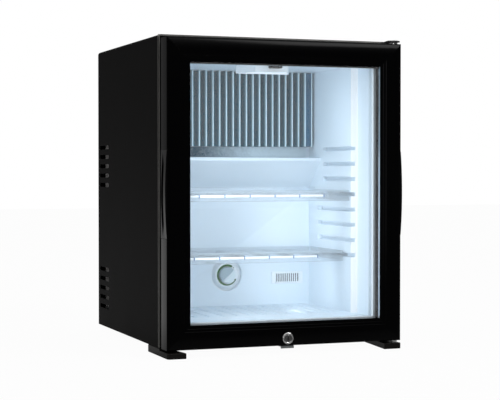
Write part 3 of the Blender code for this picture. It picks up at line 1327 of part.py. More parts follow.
outer_shell()
bottom_panel()
insulated_box()
evaporator()
lamp_unit()
door_switch()
thermostat()
sensor_cover()
shelf("upper_shelf", UPPER_SHELF_LEVEL, UPPER_SHELF_FRONT)
shelf("lower_shelf", LOWER_SHELF_LEVEL, LOWER_SHELF_FRONT)
door()
lock()
lock_keeper()
feet()
hinges()
boiler()
condenser()
absorber()
unit_strap()
junction_box()
bpy.context.view_layer.update()
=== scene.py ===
"""Looks of a tabletop minibar fridge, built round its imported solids.

Pieces are drawn in cabinet coordinates, as the solids are: x across from the middle of the cabinet,
y from the cabinet's front plane towards its rear, z up from its underside, in metres. One shift
carries them into the model's own frame.
"""
import json
import logging
import math
from dataclasses import dataclass, field
from enum import Enum
from typing import ClassVar, Iterable, Sequence

import bmesh
import bpy
import numpy as np
from mathutils import Matrix, Vector

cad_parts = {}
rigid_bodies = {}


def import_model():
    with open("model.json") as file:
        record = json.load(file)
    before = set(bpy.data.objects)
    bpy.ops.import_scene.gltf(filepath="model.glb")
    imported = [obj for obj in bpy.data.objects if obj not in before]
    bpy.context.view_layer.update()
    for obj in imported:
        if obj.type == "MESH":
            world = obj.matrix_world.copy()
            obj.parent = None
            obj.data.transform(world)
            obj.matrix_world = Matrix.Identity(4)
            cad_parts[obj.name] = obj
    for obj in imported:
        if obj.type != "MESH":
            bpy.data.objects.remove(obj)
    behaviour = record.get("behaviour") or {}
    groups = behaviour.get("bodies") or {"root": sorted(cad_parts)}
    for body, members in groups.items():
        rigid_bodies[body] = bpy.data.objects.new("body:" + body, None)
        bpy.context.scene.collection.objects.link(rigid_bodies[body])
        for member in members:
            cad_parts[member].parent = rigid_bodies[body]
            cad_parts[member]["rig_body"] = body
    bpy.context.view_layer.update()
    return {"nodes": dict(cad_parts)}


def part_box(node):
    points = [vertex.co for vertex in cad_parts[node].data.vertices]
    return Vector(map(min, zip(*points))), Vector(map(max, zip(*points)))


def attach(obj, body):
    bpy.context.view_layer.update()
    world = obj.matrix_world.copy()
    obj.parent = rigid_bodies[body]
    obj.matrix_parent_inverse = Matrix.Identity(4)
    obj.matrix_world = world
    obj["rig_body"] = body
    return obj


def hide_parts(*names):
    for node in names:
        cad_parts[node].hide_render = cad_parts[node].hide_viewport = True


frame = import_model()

LOG = logging.getLogger("minibar")
SHIFT = np.array((0.0, -0.16415, 0.0125))
FIT_GAP = 0.0003
HALF_WIDTH = 0.201
CABINET_HEIGHT = 0.494
CABINET_DEPTH = 0.376
CAVITY_DEPTH = 0.225
CAVITY_HALF = 0.150
CAVITY_TOP = 0.454
FLOOR_WALL = 0.040
LEDGE = 0.044
DOOR_FRONT = -0.046
DOOR_BOTTOM = 0.0006
DOOR_TOP = 0.4871
DOOR_THICKNESS = 0.037
HINGE = (0.194, -0.034, 0.0)
LOCK_HEIGHT = 0.0126
MERGE = 2e-6
DUST = (0.32, 0.31, 0.29)
PIN_HOLE = (0.10, 0.11, 0.14)
Axis = tuple[float, float, float]
Socket = bpy.types.NodeSocket


# Surfaces worked out as arrays

class Surface:
    """Gathers grids and caps of points into one mesh."""

    def __init__(self) -> None:
        """Start with no points and no faces."""
        self.points: list[np.ndarray] = []
        self.faces: list[np.ndarray] = []
        self.count = 0

    def add_points(self, points: np.ndarray) -> int:
        """Add points of any grid shape and return the number of the first one.

        Args:
            points: points whose last dimension is 3.

        Returns:
            Number of the first one.
        """
        flat = np.asarray(points, float).reshape(-1, 3)
        first = self.count
        self.points.append(flat)
        self.count += len(flat)
        return first

    def grid(self, sheet: np.ndarray, wrap_rows: bool = False, wrap_columns: bool = False) -> "Surface":
        """Join neighbouring points of a rows by columns sheet with four-sided faces.

        Args:
            sheet: points of shape (rows, columns, 3); faces point to rows cross columns.
            wrap_rows: whether the last row meets the first.
            wrap_columns: whether the last column meets the first.

        Returns:
            The surface itself.
        """
        rows, columns = sheet.shape[:2]
        index = self.add_points(sheet) + np.arange(rows * columns).reshape(rows, columns)
        if wrap_rows:
            index = np.vstack((index, index[:1]))
        if wrap_columns:
            index = np.hstack((index, index[:, :1]))
        quads = np.stack((index[:-1, :-1], index[1:, :-1], index[1:, 1:], index[:-1, 1:]), axis=-1)
        self.faces.append(quads.reshape(-1, 4))
        return self

    def cap(self, ring: np.ndarray) -> "Surface":
        """Close a ring of points with one flat face, counter-clockwise seen from outside."""
        self.faces.append(self.add_points(ring) + np.arange(len(ring))[None])
        return self

    def include(self, other: "Surface") -> "Surface":
        """Take in another surface's points and faces.

        Args:
            other: the surface to copy from.

        Returns:
            The surface itself.
        """
        first = self.add_points(np.vstack(other.points))
        self.faces += [faces + first for faces in other.faces]
        return self

    def mesh(self, name: str) -> bpy.types.Mesh:
        """Make the mesh in the model's own frame, with equal points merged and faces turned outwards.

        Args:
            name: name of the mesh.

        Returns:
            The new mesh.
        """
        points = np.vstack(self.points) + SHIFT
        mesh = bpy.data.meshes.new(name)
        mesh.from_pydata(points.tolist(), [], [face for faces in self.faces for face in faces.tolist()])
        return welded(mesh, MERGE, recalculate=True)


Shape = Surface | bpy.types.Mesh


def welded(mesh: bpy.types.Mesh, distance: float, recalculate: bool = False,
           dissolve: float = 0.0) -> bpy.types.Mesh:
    """Merge equal points of a mesh in place.

    Args:
        mesh: the mesh to change.
        distance: points closer than this become one.
        recalculate: whether normals are turned outwards.
        dissolve: angle in degrees under which flat neighbours become one face; 0 keeps all.

    Returns:
        The same mesh.
    """
    bm = bmesh.new()
    bm.from_mesh(mesh)
    bmesh.ops.remove_doubles(bm, verts=bm.verts, dist=distance)
    bmesh.ops.dissolve_degenerate(bm, edges=bm.edges, dist=distance)
    if dissolve:
        bmesh.ops.dissolve_limit(bm, angle_limit=math.radians(dissolve), verts=bm.verts,
                                 edges=bm.edges)
    if recalculate:
        bmesh.ops.recalc_face_normals(bm, faces=bm.faces)
    bm.to_mesh(mesh)
    bm.free()
    return mesh


def arc(centre: Sequence[float], radius: float, start: float, end: float, steps: int) -> np.ndarray:
    """Points on a circle: centre plus radius times cosine and sine of angles in degrees."""
    angle = np.radians(np.linspace(start, end, steps + 1))
    return np.stack((centre[0] + radius * np.cos(angle), centre[1] + radius * np.sin(angle)), axis=1)


def rounded_outline(corners: Sequence[Sequence[float]], radius: float, steps: int = 5) -> np.ndarray:
    """A closed flat outline with every corner rounded.

    Each corner becomes a run of points on the parabola-like blend entry·(1−t)² + corner·2t(1−t) +
    leave·t², where entry and leave lie one radius back along its two sides.

    Args:
        corners: corner points in order.
        radius: how far back along each side the rounding starts.
        steps: pieces that each rounding has.

    Returns:
        Points of shape (count, 2).
    """
    corner = np.asarray(corners, float)
    back = np.roll(corner, 1, axis=0) - corner
    ahead = np.roll(corner, -1, axis=0) - corner
    reach_back = np.minimum(radius, np.linalg.norm(back, axis=1) * 0.49)[:, None]
    reach_ahead = np.minimum(radius, np.linalg.norm(ahead, axis=1) * 0.49)[:, None]
    entry = corner + back / np.linalg.norm(back, axis=1)[:, None] * reach_back
    leave = corner + ahead / np.linalg.norm(ahead, axis=1)[:, None] * reach_ahead
    t = np.linspace(0.0, 1.0, steps + 1)[None, :, None]
    blend = (entry[:, None] * (1 - t) ** 2 + corner[:, None] * 2 * t * (1 - t) + leave[:, None] * t ** 2)
    return blend.reshape(-1, 2)


def spread_on(axis: str, outline: np.ndarray, level: float) -> np.ndarray:
    """Put a flat outline on the plane across an axis, its two directions in cyclic order.

    Args:
        axis: the axis across the plane.
        outline: the points in the plane.
        level: where the plane lies on the axis.

    Returns:
        The points in space.
    """
    points = np.empty((len(outline), 3))
    points[:, {"X": (1, 2), "Y": (0, 2), "Z": (0, 1)}[axis]] = outline
    points[:, "XYZ".index(axis)] = level
    return points


def prism(axis: str, outline: np.ndarray, start: float, end: float) -> Surface:
    """A straight body: the outline carried along an axis from start to end, with flat ends."""
    low, high = spread_on(axis, outline, start), spread_on(axis, outline, end)
    return Surface().grid(np.stack((low, high)), wrap_columns=True).cap(low).cap(high)


def turned(profile: Sequence[Sequence[float]], place: Axis, direction: Axis, steps: int = 48,
           closed: bool = False) -> Surface:
    """A turned body: radius times (cosine, sine) of the angle round a direction, plus height along it.

    Args:
        profile: (radius, height) points.
        place: where radius and height are nought.
        direction: unit vector of the turning axis.
        steps: points round the circle.
        closed: whether the last profile point meets the first.

    Returns:
        The surface.
    """
    along = np.asarray(direction, float)
    side = np.cross(along, (0.31, 0.57, 0.76))
    side /= np.linalg.norm(side)
    other = np.cross(along, side)
    angle = np.linspace(0.0, 2 * math.pi, steps, endpoint=False)[:, None, None]
    radius, height = np.asarray(profile, float).T[:, None, :, None]
    sheet = np.asarray(place) + height * along + radius * (np.cos(angle) * side + np.sin(angle) * other)
    return Surface().grid(sheet, wrap_rows=True, wrap_columns=closed)


def rod(radius: float, start: float, end: float, place: Axis, direction: Axis, steps: int = 32) -> Surface:
    """A straight round bar from a start height to an end height along a direction."""
    return turned([(0.0, start), (radius, start), (radius, end), (0.0, end)], place, direction, steps)


def bend_path(corners: Sequence[Axis], radius: float | np.ndarray, steps: int = 12) -> np.ndarray:
    """A path through corners, each inner one rounded by a circle's arc.

    On an arc the point is the centre plus first·sin((1−t)·sweep)/sin(sweep) + last·sin(t·sweep)/sin(sweep).

    Args:
        corners: corner points in order.
        radius: radius of every bend, or one for each bend.
        steps: pieces of each bend.

    Returns:
        Points of shape (count, 3).
    """
    corner = np.asarray(corners, float)
    radius = np.broadcast_to(np.asarray(radius, float), (len(corner) - 2,))[:, None]
    entry = corner[:-2] - corner[1:-1]
    leave = corner[2:] - corner[1:-1]
    entry /= np.linalg.norm(entry, axis=1)[:, None]
    leave /= np.linalg.norm(leave, axis=1)[:, None]
    half = np.arccos(np.clip((entry * leave).sum(axis=1), -1, 1))[:, None] / 2
    middle = entry + leave
    middle /= np.linalg.norm(middle, axis=1)[:, None]
    centre = corner[1:-1] + middle * radius / np.sin(half)
    first = corner[1:-1] + entry * radius / np.tan(half) - centre
    last = corner[1:-1] + leave * radius / np.tan(half) - centre
    sweep = (math.pi - 2 * half)[:, :, None]
    t = np.linspace(0.0, 1.0, steps + 1)[None, :, None]
    bends = centre[:, None] + (first[:, None] * np.sin((1 - t) * sweep)
                               + last[:, None] * np.sin(t * sweep)) / np.sin(sweep)
    return np.vstack((corner[:1], bends.reshape(-1, 3), corner[-1:]))


def tube(path: np.ndarray, radius: float | np.ndarray, sides: int = 24) -> Surface:
    """A round tube: path point plus radius times (cosine, sine) across the path's own direction.

    Args:
        path: points of shape (count, 3).
        radius: one radius, or one for each point.
        sides: points round the tube.

    Returns:
        The surface, closed at both ends.
    """
    along = np.gradient(path, axis=0)
    along /= np.linalg.norm(along, axis=1)[:, None]
    side = np.cross(along, (0.41, 0.53, 0.74))
    side /= np.linalg.norm(side, axis=1)[:, None]
    other = np.cross(along, side)
    angle = np.linspace(0.0, 2 * math.pi, sides, endpoint=False)
    wide = np.broadcast_to(np.asarray(radius, float), (len(path),))[:, None, None]
    ring = np.cos(angle)[None, :, None] * side[:, None] + np.sin(angle)[None, :, None] * other[:, None]
    sheet = path[:, None] + wide * ring
    return Surface().grid(sheet, wrap_columns=True).cap(sheet[0]).cap(sheet[-1])


def spaced(path: np.ndarray) -> np.ndarray:
    """A path without points that repeat the one before them."""
    step = np.linalg.norm(np.diff(path, axis=0), axis=1)
    return path[np.concatenate(([True], step > 1e-6))]


def slab(top: np.ndarray, bottom: np.ndarray) -> Surface:
    """A closed body between two sheets of the same rows and columns.

    The rows run over the top sheet and back under the bottom one, so that the grid closes on itself,
    and the first and last columns become its ends.
    """
    sheet = np.vstack((top, bottom[::-1]))
    return Surface().grid(sheet, wrap_rows=True).cap(sheet[:, 0]).cap(sheet[:, -1])


def framed(profile: Sequence[Sequence[float]]) -> Surface:
    """A section run round the door: inset from the door's edges, and depth behind its front.

    Each corner of the frame is one copy of the section on the mitre plane, and the four copies close
    into a ring.

    Args:
        profile: the section's corners.

    Returns:
        The closed ring.
    """
    inset, depth = np.asarray(profile, float).T
    sections = [np.stack((side * (HALF_WIDTH - inset), DOOR_FRONT + depth,
                          DOOR_TOP - inset if upper else DOOR_BOTTOM + inset), axis=1)
                for side, upper in ((-1, False), (1, False), (1, True), (-1, True))]
    return Surface().grid(np.stack(sections), wrap_rows=True, wrap_columns=True)


def gathered(surfaces: Iterable[Surface]) -> Surface:
    """Several closed bodies as one surface.

    Args:
        surfaces: the bodies.

    Returns:
        One surface that holds them all.
    """
    whole = Surface()
    for surface in surfaces:
        whole.include(surface)
    return whole


def rounded_block(low: Axis, high: Axis, radius: float, steps: int = 4) -> Surface:
    """A block with round edges: the sign of each direction times the inner half size, plus radius times it.

    Directions run over latitude and longitude, with each octant's borders taken twice, so that the
    doubled lines open into the block's flat sides.

    Args:
        low: lowest corner.
        high: highest corner.
        radius: radius of the edges.
        steps: pieces of each quarter circle.

    Returns:
        The surface.
    """
    low, high = np.asarray(low, float), np.asarray(high, float)
    inner = (high - low) / 2 - radius
    quarter = np.linspace(0.0, math.pi / 2, steps + 1)
    longitude = np.concatenate([quarter + index * math.pi / 2 for index in range(4)])
    sign_x = np.repeat((1, -1, -1, 1), steps + 1)
    sign_y = np.repeat((1, 1, -1, -1), steps + 1)
    latitude = np.concatenate((quarter - math.pi / 2, quarter))[:, None]
    sign_z = np.repeat((-1, 1), steps + 1)[:, None]
    sheet = np.stack((sign_x * inner[0] + radius * np.cos(latitude) * np.cos(longitude),
                      sign_y * inner[1] + radius * np.cos(latitude) * np.sin(longitude),
                      sign_z * inner[2] + radius * np.sin(latitude) * np.ones_like(longitude)), axis=-1)
    sheet += (low + high) / 2
    return Surface().grid(sheet, wrap_columns=True).cap(sheet[0]).cap(sheet[-1])


# Node groups and finishes

class NodeTree:
    """Adds and links nodes in one shader tree."""

    def __init__(self, tree: bpy.types.NodeTree) -> None:
        """Keep the tree to write in."""
        self.tree = tree

    def add(self, kind: str, inputs: dict | None = None, **settings: object) -> bpy.types.Node:
        """Add a node.

        Args:
            kind: Blender's name of the node type.
            inputs: input name or number to a value or another node's output.
            settings: attributes of the node.

        Returns:
            The node.
        """
        node = self.tree.nodes.new(kind)
        for name, value in settings.items():
            setattr(node, name, value)
        for key, value in (inputs or {}).items():
            if isinstance(value, Socket):
                self.tree.links.new(value, node.inputs[key])
            else:
                node.inputs[key].default_value = value
        return node

    def math(self, operation: str, *values: object) -> Socket:
        """Add a Math node and return its result."""
        node = self.add("ShaderNodeMath", dict(enumerate(values)), operation=operation)
        return node.outputs[0]

    def mix(self, factor: object, first: object, second: object) -> Socket:
        """Add a colour Mix node and return its result.

        Args:
            factor: share of the second colour.
            first: the first colour.
            second: the second colour.

        Returns:
            The mixed colour.
        """
        node = self.add("ShaderNodeMix", data_type="RGBA")
        for socket, value in ((node.inputs[0], factor), (node.inputs[6], first), (node.inputs[7], second)):
            if isinstance(value, Socket):
                self.tree.links.new(value, socket)
            else:
                socket.default_value = value
        return node.outputs[2]

    def spread(self, value: object, low: float, high: float, start: float = 0.0, end: float = 1.0) -> Socket:
        """Map a value that runs from start to end onto low to high."""
        return self.add("ShaderNodeMapRange", {0: value, 1: start, 2: end, 3: low, 4: high}).outputs[0]

    def noise(self, place: object, scale: object, detail: float, roughness: float = 0.5) -> Socket:
        """Add a Noise Texture and return its value."""
        inputs = {"Vector": place, "Scale": scale, "Detail": detail, "Roughness": roughness}
        return self.add("ShaderNodeTexNoise", inputs).outputs[0]

    def weighted(self, first: object, share: float, second: object, rest: float) -> Socket:
        """Add two values, each times its share."""
        return self.math("ADD", self.math("MULTIPLY", first, share), self.math("MULTIPLY", second, rest))

    def parts(self, vector: object) -> list[Socket]:
        """Split a vector into its x, y and z."""
        return list(self.add("ShaderNodeSeparateXYZ", {0: vector}).outputs)


class Effects:
    """Node groups that several finishes share; each is built once."""

    built: ClassVar[dict[str, bpy.types.NodeTree]] = {}
    numbers: ClassVar[dict[str, dict[str, float]]] = {
        "peel": {"Scale": 900.0}, "moulded": {"Scale": 30.0}, "drawn": {"Scale": 1200.0},
        "spangle": {"Scale": 140.0}, "settled_dust": {"Amount": 0.2},
        "perforations": {"Pitch": 0.003, "Radius": 0.0006}}

    @classmethod
    def get(cls, name: str) -> bpy.types.NodeTree:
        """Return a group, building it the first time.

        Its inputs are coordinates and the numbers listed for it, and its outputs are what the
        method of its name returns.

        Args:
            name: name of the group.

        Returns:
            The group.
        """
        if name not in cls.built:
            tree = bpy.data.node_groups.new(name, "ShaderNodeTree")
            tree.interface.new_socket(name="Coordinates", in_out="INPUT", socket_type="NodeSocketVector")
            for key, value in cls.numbers[name].items():
                socket = tree.interface.new_socket(name=key, in_out="INPUT", socket_type="NodeSocketFloat")
                socket.default_value = value
            w = NodeTree(tree)
            results = getattr(cls, name)(w, *list(w.add("NodeGroupInput").outputs)[:-1])
            for key in results:
                tree.interface.new_socket(name=key, in_out="OUTPUT", socket_type="NodeSocketFloat")
            w.add("NodeGroupOutput", results)
            cls.built[name] = tree
        return cls.built[name]

    @staticmethod
    def peel(w: NodeTree, place: Socket, scale: Socket) -> dict:
        """Pebbly skin of sprayed paint or textured plastic, with a slow mottle.

        Args:
            w: the tree to add to.
            place: the point on the piece.
            scale: how fine the grain is.

        Returns:
            The sockets for height and mottle.
        """
        fine = w.noise(place, scale, 2.0, 0.55)
        cells = w.add("ShaderNodeTexVoronoi", {"Vector": place, "Scale": w.math("MULTIPLY", scale, 0.7),
                                               "Smoothness": 0.8}, feature="SMOOTH_F1")
        return {"Height": w.weighted(fine, 0.6, cells.outputs[0], 0.4),
                "Mottle": w.noise(place, w.math("MULTIPLY", scale, 0.012), 4.0)}

    @staticmethod
    def moulded(w: NodeTree, place: Socket, scale: Socket) -> dict:
        """Long soft waves of moulded or drawn plastic with a trace of fine grain."""
        fine = w.noise(place, w.math("MULTIPLY", scale, 40.0), 2.0)
        return {"Height": w.weighted(w.noise(place, scale, 1.0), 1.0, fine, 0.05),
                "Mottle": w.noise(place, w.math("MULTIPLY", scale, 0.3), 5.0)}

    @staticmethod
    def drawn(w: NodeTree, place: Socket, scale: Socket) -> dict:
        """Fine lines along the height, as on drawn or brushed metal.

        Args:
            w: the tree to add to.
            place: the point on the piece.
            scale: how fine the grain is.

        Returns:
            The sockets for height and mottle.
        """
        long_way = w.add("ShaderNodeMapping", {"Vector": place, "Scale": (1.0, 1.0, 0.02)})
        lines = w.noise(long_way.outputs[0], scale, 3.0)
        cloud = w.noise(place, w.math("MULTIPLY", scale, 0.02), 3.0)
        return {"Height": lines, "Mottle": w.weighted(lines, 0.5, cloud, 0.5)}

    @staticmethod
    def spangle(w: NodeTree, place: Socket, scale: Socket) -> dict:
        """Crystal flowers of hot-dip zinc: cells that each have a tone of their own.

        Args:
            w: the tree to add to.
            place: the point on the piece.
            scale: how fine the grain is.

        Returns:
            The sockets for height and mottle.
        """
        cells = w.add("ShaderNodeTexVoronoi", {"Vector": place, "Scale": scale, "Randomness": 1.0})
        tone = w.add("ShaderNodeSeparateColor", {0: cells.outputs["Color"]}).outputs[0]
        fine = w.noise(place, w.math("MULTIPLY", scale, 6.0), 3.0)
        return {"Height": fine, "Mottle": w.weighted(tone, 0.7, fine, 0.3)}

    @staticmethod
    def settled_dust(w: NodeTree, place: Socket, amount: Socket) -> dict:
        """Mask of dust that lies on upward faces, broken up by noise.

        Args:
            w: the tree to add to.
            place: the point on the piece.
            amount: how thick it lies.

        Returns:
            The socket of the mask.
        """
        upward = w.parts(w.add("ShaderNodeNewGeometry").outputs["Normal"])[2]
        up = w.math("POWER", w.math("MAXIMUM", upward, 0.0), 3.0)
        share = w.math("ADD", w.math("MULTIPLY", up, 0.8), 0.12)
        specks = w.math("MULTIPLY", share, w.noise(place, 260.0, 6.0, 0.7))
        return {"Mask": w.math("MULTIPLY", specks, amount)}

    @staticmethod
    def perforations(w: NodeTree, place: Socket, pitch: Socket, radius: Socket) -> dict:
        """Mask of small holes, repeated across and along the height.

        Args:
            w: the tree to add to.
            place: the point on the piece.
            pitch: step between holes.
            radius: half the width of a hole.

        Returns:
            The socket of the mask.
        """
        across, _, height = w.parts(place)
        steps = [w.math("PINGPONG", part, w.math("MULTIPLY", pitch, 0.5)) for part in (across, height)]
        return {"Mask": w.math("LESS_THAN", w.math("MAXIMUM", *steps), radius)}


class Grain(Enum):
    """Which shared effect gives a finish its texture."""

    PEEL = "peel"
    MOULDED = "moulded"
    DRAWN = "drawn"
    SPANGLE = "spangle"


@dataclass(frozen=True)
class Finish:
    """One procedural finish: two tones, a grain, its gloss, and dust."""

    name: str
    colour: Axis
    tone: Axis
    roughness: float
    spread: float = 0.04
    grain: Grain = Grain.PEEL
    scale: float = 30.0
    depth: float = 0.0002
    metallic: float = 0.0
    specular: float = 0.5
    transmission: float = 0.0
    alpha: float = 1.0
    ior: float = 1.45
    glow: float = 0.0
    dust: float = 0.0
    turn: Axis = (0.0, 0.0, 0.0)

    def material(self) -> bpy.types.Material:
        """Return the finish's material, building it the first time."""
        known = bpy.data.materials.get("finish_" + self.name)
        return known or self.build()

    def build(self) -> bpy.types.Material:
        """Write the node tree: grain, mottle and dust feed colour, roughness and bump.

        Returns:
            The new material.
        """
        material = bpy.data.materials.new("finish_" + self.name)
        material.use_nodes = True
        tree = material.node_tree
        w = NodeTree(tree)
        shader = tree.nodes["Principled BSDF"]
        place = w.add("ShaderNodeTexCoord").outputs["Object"]
        if any(self.turn):
            place = w.add("ShaderNodeMapping", {"Vector": place, "Rotation": self.turn}).outputs[0]
        texture = w.add("ShaderNodeGroup", {"Coordinates": place, "Scale": self.scale},
                        node_tree=Effects.get(self.grain.value))
        mottle = texture.outputs["Mottle"]
        colour = w.mix(w.spread(mottle, -0.25, 1.25), (*self.colour, 1.0), (*self.tone, 1.0))
        roughness = w.spread(mottle, self.roughness - self.spread, self.roughness + self.spread)
        if self.dust:
            dust = w.add("ShaderNodeGroup", {"Coordinates": place, "Amount": self.dust},
                         node_tree=Effects.get("settled_dust")).outputs["Mask"]
            colour = w.mix(dust, colour, (*DUST, 1.0))
            roughness = w.math("ADD", roughness, w.math("MULTIPLY", dust, 0.5))
        colour = self.mark(w, place, colour)
        bump = w.add("ShaderNodeBump", {"Height": texture.outputs["Height"], "Strength": 1.0,
                                        "Distance": self.depth})
        for key, value in (("Base Color", colour), ("Roughness", roughness), ("Normal", bump.outputs[0])):
            tree.links.new(value, shader.inputs[key])
        for key, value in (("Metallic", self.metallic), ("Specular IOR Level", self.specular),
                           ("Transmission Weight", self.transmission), ("Alpha", self.alpha),
                           ("IOR", self.ior)):
            shader.inputs[key].default_value = value
        if self.glow:
            shader.inputs["Emission Color"].default_value = (*self.colour, 1.0)
            shader.inputs["Emission Strength"].default_value = self.glow
        return material

    def mark(self, w: NodeTree, place: Socket, colour: Socket) -> Socket:
        """Leave the colour as it is; finishes with marks of their own change it here.

        Args:
            w: the tree to add to.
            place: the point on the piece.
            colour: the colour so far.

        Returns:
            The colour with the finish's own marks.
        """
        return colour


@dataclass(frozen=True)
class PerforatedFinish(Finish):
    """Metal with a row of dark pin holes, as on the bar between two panes."""

    pitch: float = 0.003
    radius: float = 0.0008

    def mark(self, w: NodeTree, place: Socket, colour: Socket) -> Socket:
        """Darken the colour inside the holes."""
        holes = w.add("ShaderNodeGroup", {"Coordinates": place, "Pitch": self.pitch, "Radius": self.radius},
                      node_tree=Effects.get("perforations"))
        return w.mix(holes.outputs["Mask"], colour, (*PIN_HOLE, 1.0))


@dataclass(frozen=True)
class HighlightBandFinish(Finish):
    """A finish with a painted highlight: a brighter band about one depth, given with the band's half width.
    """

    band: tuple[float, float] = (0.0, 0.001)
    highlight_colour: Axis = (1.0, 1.0, 1.0)

    def mark(self, w: NodeTree, place: Socket, colour: Socket) -> Socket:
        """Mix in the painted highlight colour where the depth is near the band's middle."""
        mask = w.math("COMPARE", w.parts(place)[1], *self.band)
        return w.mix(mask, colour, (*self.highlight_colour, 1.0))


@dataclass(frozen=True)
class PaintedShadeFinish(Finish):
    """A finish with painted shade: it turns into a darker second colour along one direction, broken up by
    specks.
    """

    deep: Axis = (0.0, 0.0, 0.0)
    along: int = 0
    pale_at: float = 1.0
    deep_at: float = 0.0
    broken: float = 0.5

    def mark(self, w: NodeTree, place: Socket, colour: Socket) -> Socket:
        """Mix in the painted shade colour by the share of the way from the pale end to the deep end.

        Args:
            w: the tree to add to.
            place: the point on the piece.
            colour: the colour so far.

        Returns:
            The graded colour.
        """
        share = w.spread(w.parts(place)[self.along], 0.0, 1.0, self.pale_at, self.deep_at)
        speck = w.math("SUBTRACT", w.noise(place, 260.0, 3.0), 0.5)
        mask = w.math("ADD", share, w.math("MULTIPLY", speck, self.broken))
        mask.node.use_clamp = True
        return w.mix(mask, colour, (*self.deep, 1.0))


@dataclass(frozen=True)
class GlassFinish:
    """Clear float glass with its faint green-blue tint."""

    name: str
    colour: Axis

    def material(self) -> bpy.types.Material:
        """Return the glass material, building it the first time.

        Returns:
            The material.
        """
        known = bpy.data.materials.get("finish_" + self.name)
        if known:
            return known
        material = bpy.data.materials.new("finish_" + self.name)
        material.use_nodes = True
        w = NodeTree(material.node_tree)
        shader = w.tree.nodes["Principled BSDF"]
        film = w.noise(w.add("ShaderNodeTexCoord").outputs["Object"], 9.0, 3.0)
        tint = w.mix(film, (*self.colour, 1.0), (*(value * 0.995 for value in self.colour), 1.0))
        w.tree.links.new(tint, shader.inputs["Base Color"])
        w.tree.links.new(w.spread(film, 0.0, 0.012), shader.inputs["Roughness"])
        for key, value in (("Metallic", 0.0), ("Transmission Weight", 1.0), ("IOR", 1.45)):
            shader.inputs[key].default_value = value
        return material


CABINET_PAINT = Finish(
    "cabinet_paint", (0.0042, 0.0040, 0.0040), (0.0064, 0.0062, 0.0062), 0.56, scale=1100.0,
    depth=0.00006, specular=0.014, dust=0.008)
# Lighter grey than the cabinet paint: a painted highlight along the front fold, with the paint's real gloss
# on top.
FOLD_HIGHLIGHT_PAINT = Finish(
    "fold_highlight_paint", (0.20, 0.20, 0.185), (0.27, 0.265, 0.25), 0.34, scale=1100.0, depth=0.00003,
    specular=0.6)
# Painted light: pale strips behind the vents, standing in for the light that shows through the open back.
PALE_VENT_LIGHT = Finish(
    "pale_vent_light", (0.62, 0.59, 0.58), (0.72, 0.69, 0.68), 0.6, scale=1100.0, depth=0.00003,
    specular=0.3)
# Painted shadows: blue ticks where the tray's ribs throw shadows through its clear front.
RIB_SHADOW_BLUE = Finish(
    "rib_shadow_blue", (0.06, 0.16, 0.40), (0.12, 0.24, 0.50), 0.4, scale=1500.0, depth=0.00002, specular=0.2)
DOOR_GLOSS = Finish(
    "door_gloss", (0.0007, 0.0007, 0.0009), (0.0012, 0.0012, 0.0014), 0.15, grain=Grain.MOULDED,
    scale=26.0, depth=0.00010, specular=0.09)
GRIP_PLASTIC = Finish(
    "grip_plastic", (0.0014, 0.0014, 0.0016), (0.0024, 0.0024, 0.0027), 0.30, scale=1500.0,
    depth=0.00003, specular=0.14)
FOOT_PLASTIC = Finish(
    "foot_plastic", (0.0050, 0.0044, 0.0040), (0.0085, 0.0076, 0.0070), 0.42, scale=1300.0,
    depth=0.00005, specular=0.12, dust=0.01)
# The liner carries a painted highlight: a near-white band at the ledge's depth.
WHITE_LINER_LEDGE_HIGHLIGHT = HighlightBandFinish(
    "white_liner", (0.74, 0.85, 0.94), (0.78, 0.88, 0.96), 0.36, grain=Grain.MOULDED, scale=14.0,
    depth=0.0004, specular=0.45, band=(LEDGE + SHIFT[1], 0.0012), highlight_colour=(0.98, 0.99, 1.0))
WHITE_PLASTIC = Finish(
    "white_plastic", (0.82, 0.88, 0.92), (0.86, 0.91, 0.94), 0.38, scale=1600.0, depth=0.00002)
WHITE_RUBBER = Finish(
    "white_rubber", (0.66, 0.70, 0.72), (0.74, 0.78, 0.80), 0.62, scale=1400.0, depth=0.00005)
BLACK_RUBBER = Finish(
    "black_rubber", (0.010, 0.010, 0.012), (0.016, 0.016, 0.018), 0.7, scale=1200.0, depth=0.00008)
BLACK_PLASTIC = Finish(
    "black_plastic", (0.004, 0.005, 0.006), (0.008, 0.009, 0.011), 0.45, scale=1400.0, depth=0.00005,
    specular=0.15, dust=0.04)
GREY_PLASTIC = Finish(
    "grey_plastic", (0.30, 0.31, 0.32), (0.38, 0.39, 0.40), 0.48, scale=1400.0, depth=0.00004)
# Painted shade: the knob's half on the upper-left side of a line along its ridge is painted darker.
KNOB_PLASTIC_HALF_SHADE = PaintedShadeFinish(
    "knob_plastic", (0.74, 0.84, 0.88), (0.80, 0.88, 0.91), 0.34, scale=1700.0, depth=0.00002,
    turn=(0.0, 0.733, 0.0), deep=(0.40, 0.52, 0.58), along=2, pale_at=0.0846, deep_at=0.0860,
    broken=0.1)
FOAM = Finish("foam", (0.80, 0.64, 0.32), (0.90, 0.76, 0.46), 0.9, scale=420.0, depth=0.0005)
CIRCUIT_BOARD = Finish(
    "circuit_board", (0.05, 0.22, 0.10), (0.07, 0.28, 0.13), 0.45, grain=Grain.SPANGLE, scale=600.0,
    depth=0.00003)
LAMP_LENS = Finish("lamp_lens", (0.84, 0.92, 1.0), (0.90, 0.96, 1.0), 0.3, grain=Grain.MOULDED, glow=0.45)
CLEAR_PLASTIC = Finish(
    "clear_plastic", (0.86, 0.93, 0.99), (0.92, 0.97, 1.0), 0.06, spread=0.03, grain=Grain.MOULDED,
    scale=40.0, depth=0.0001, transmission=0.9, alpha=0.45, ior=1.49)
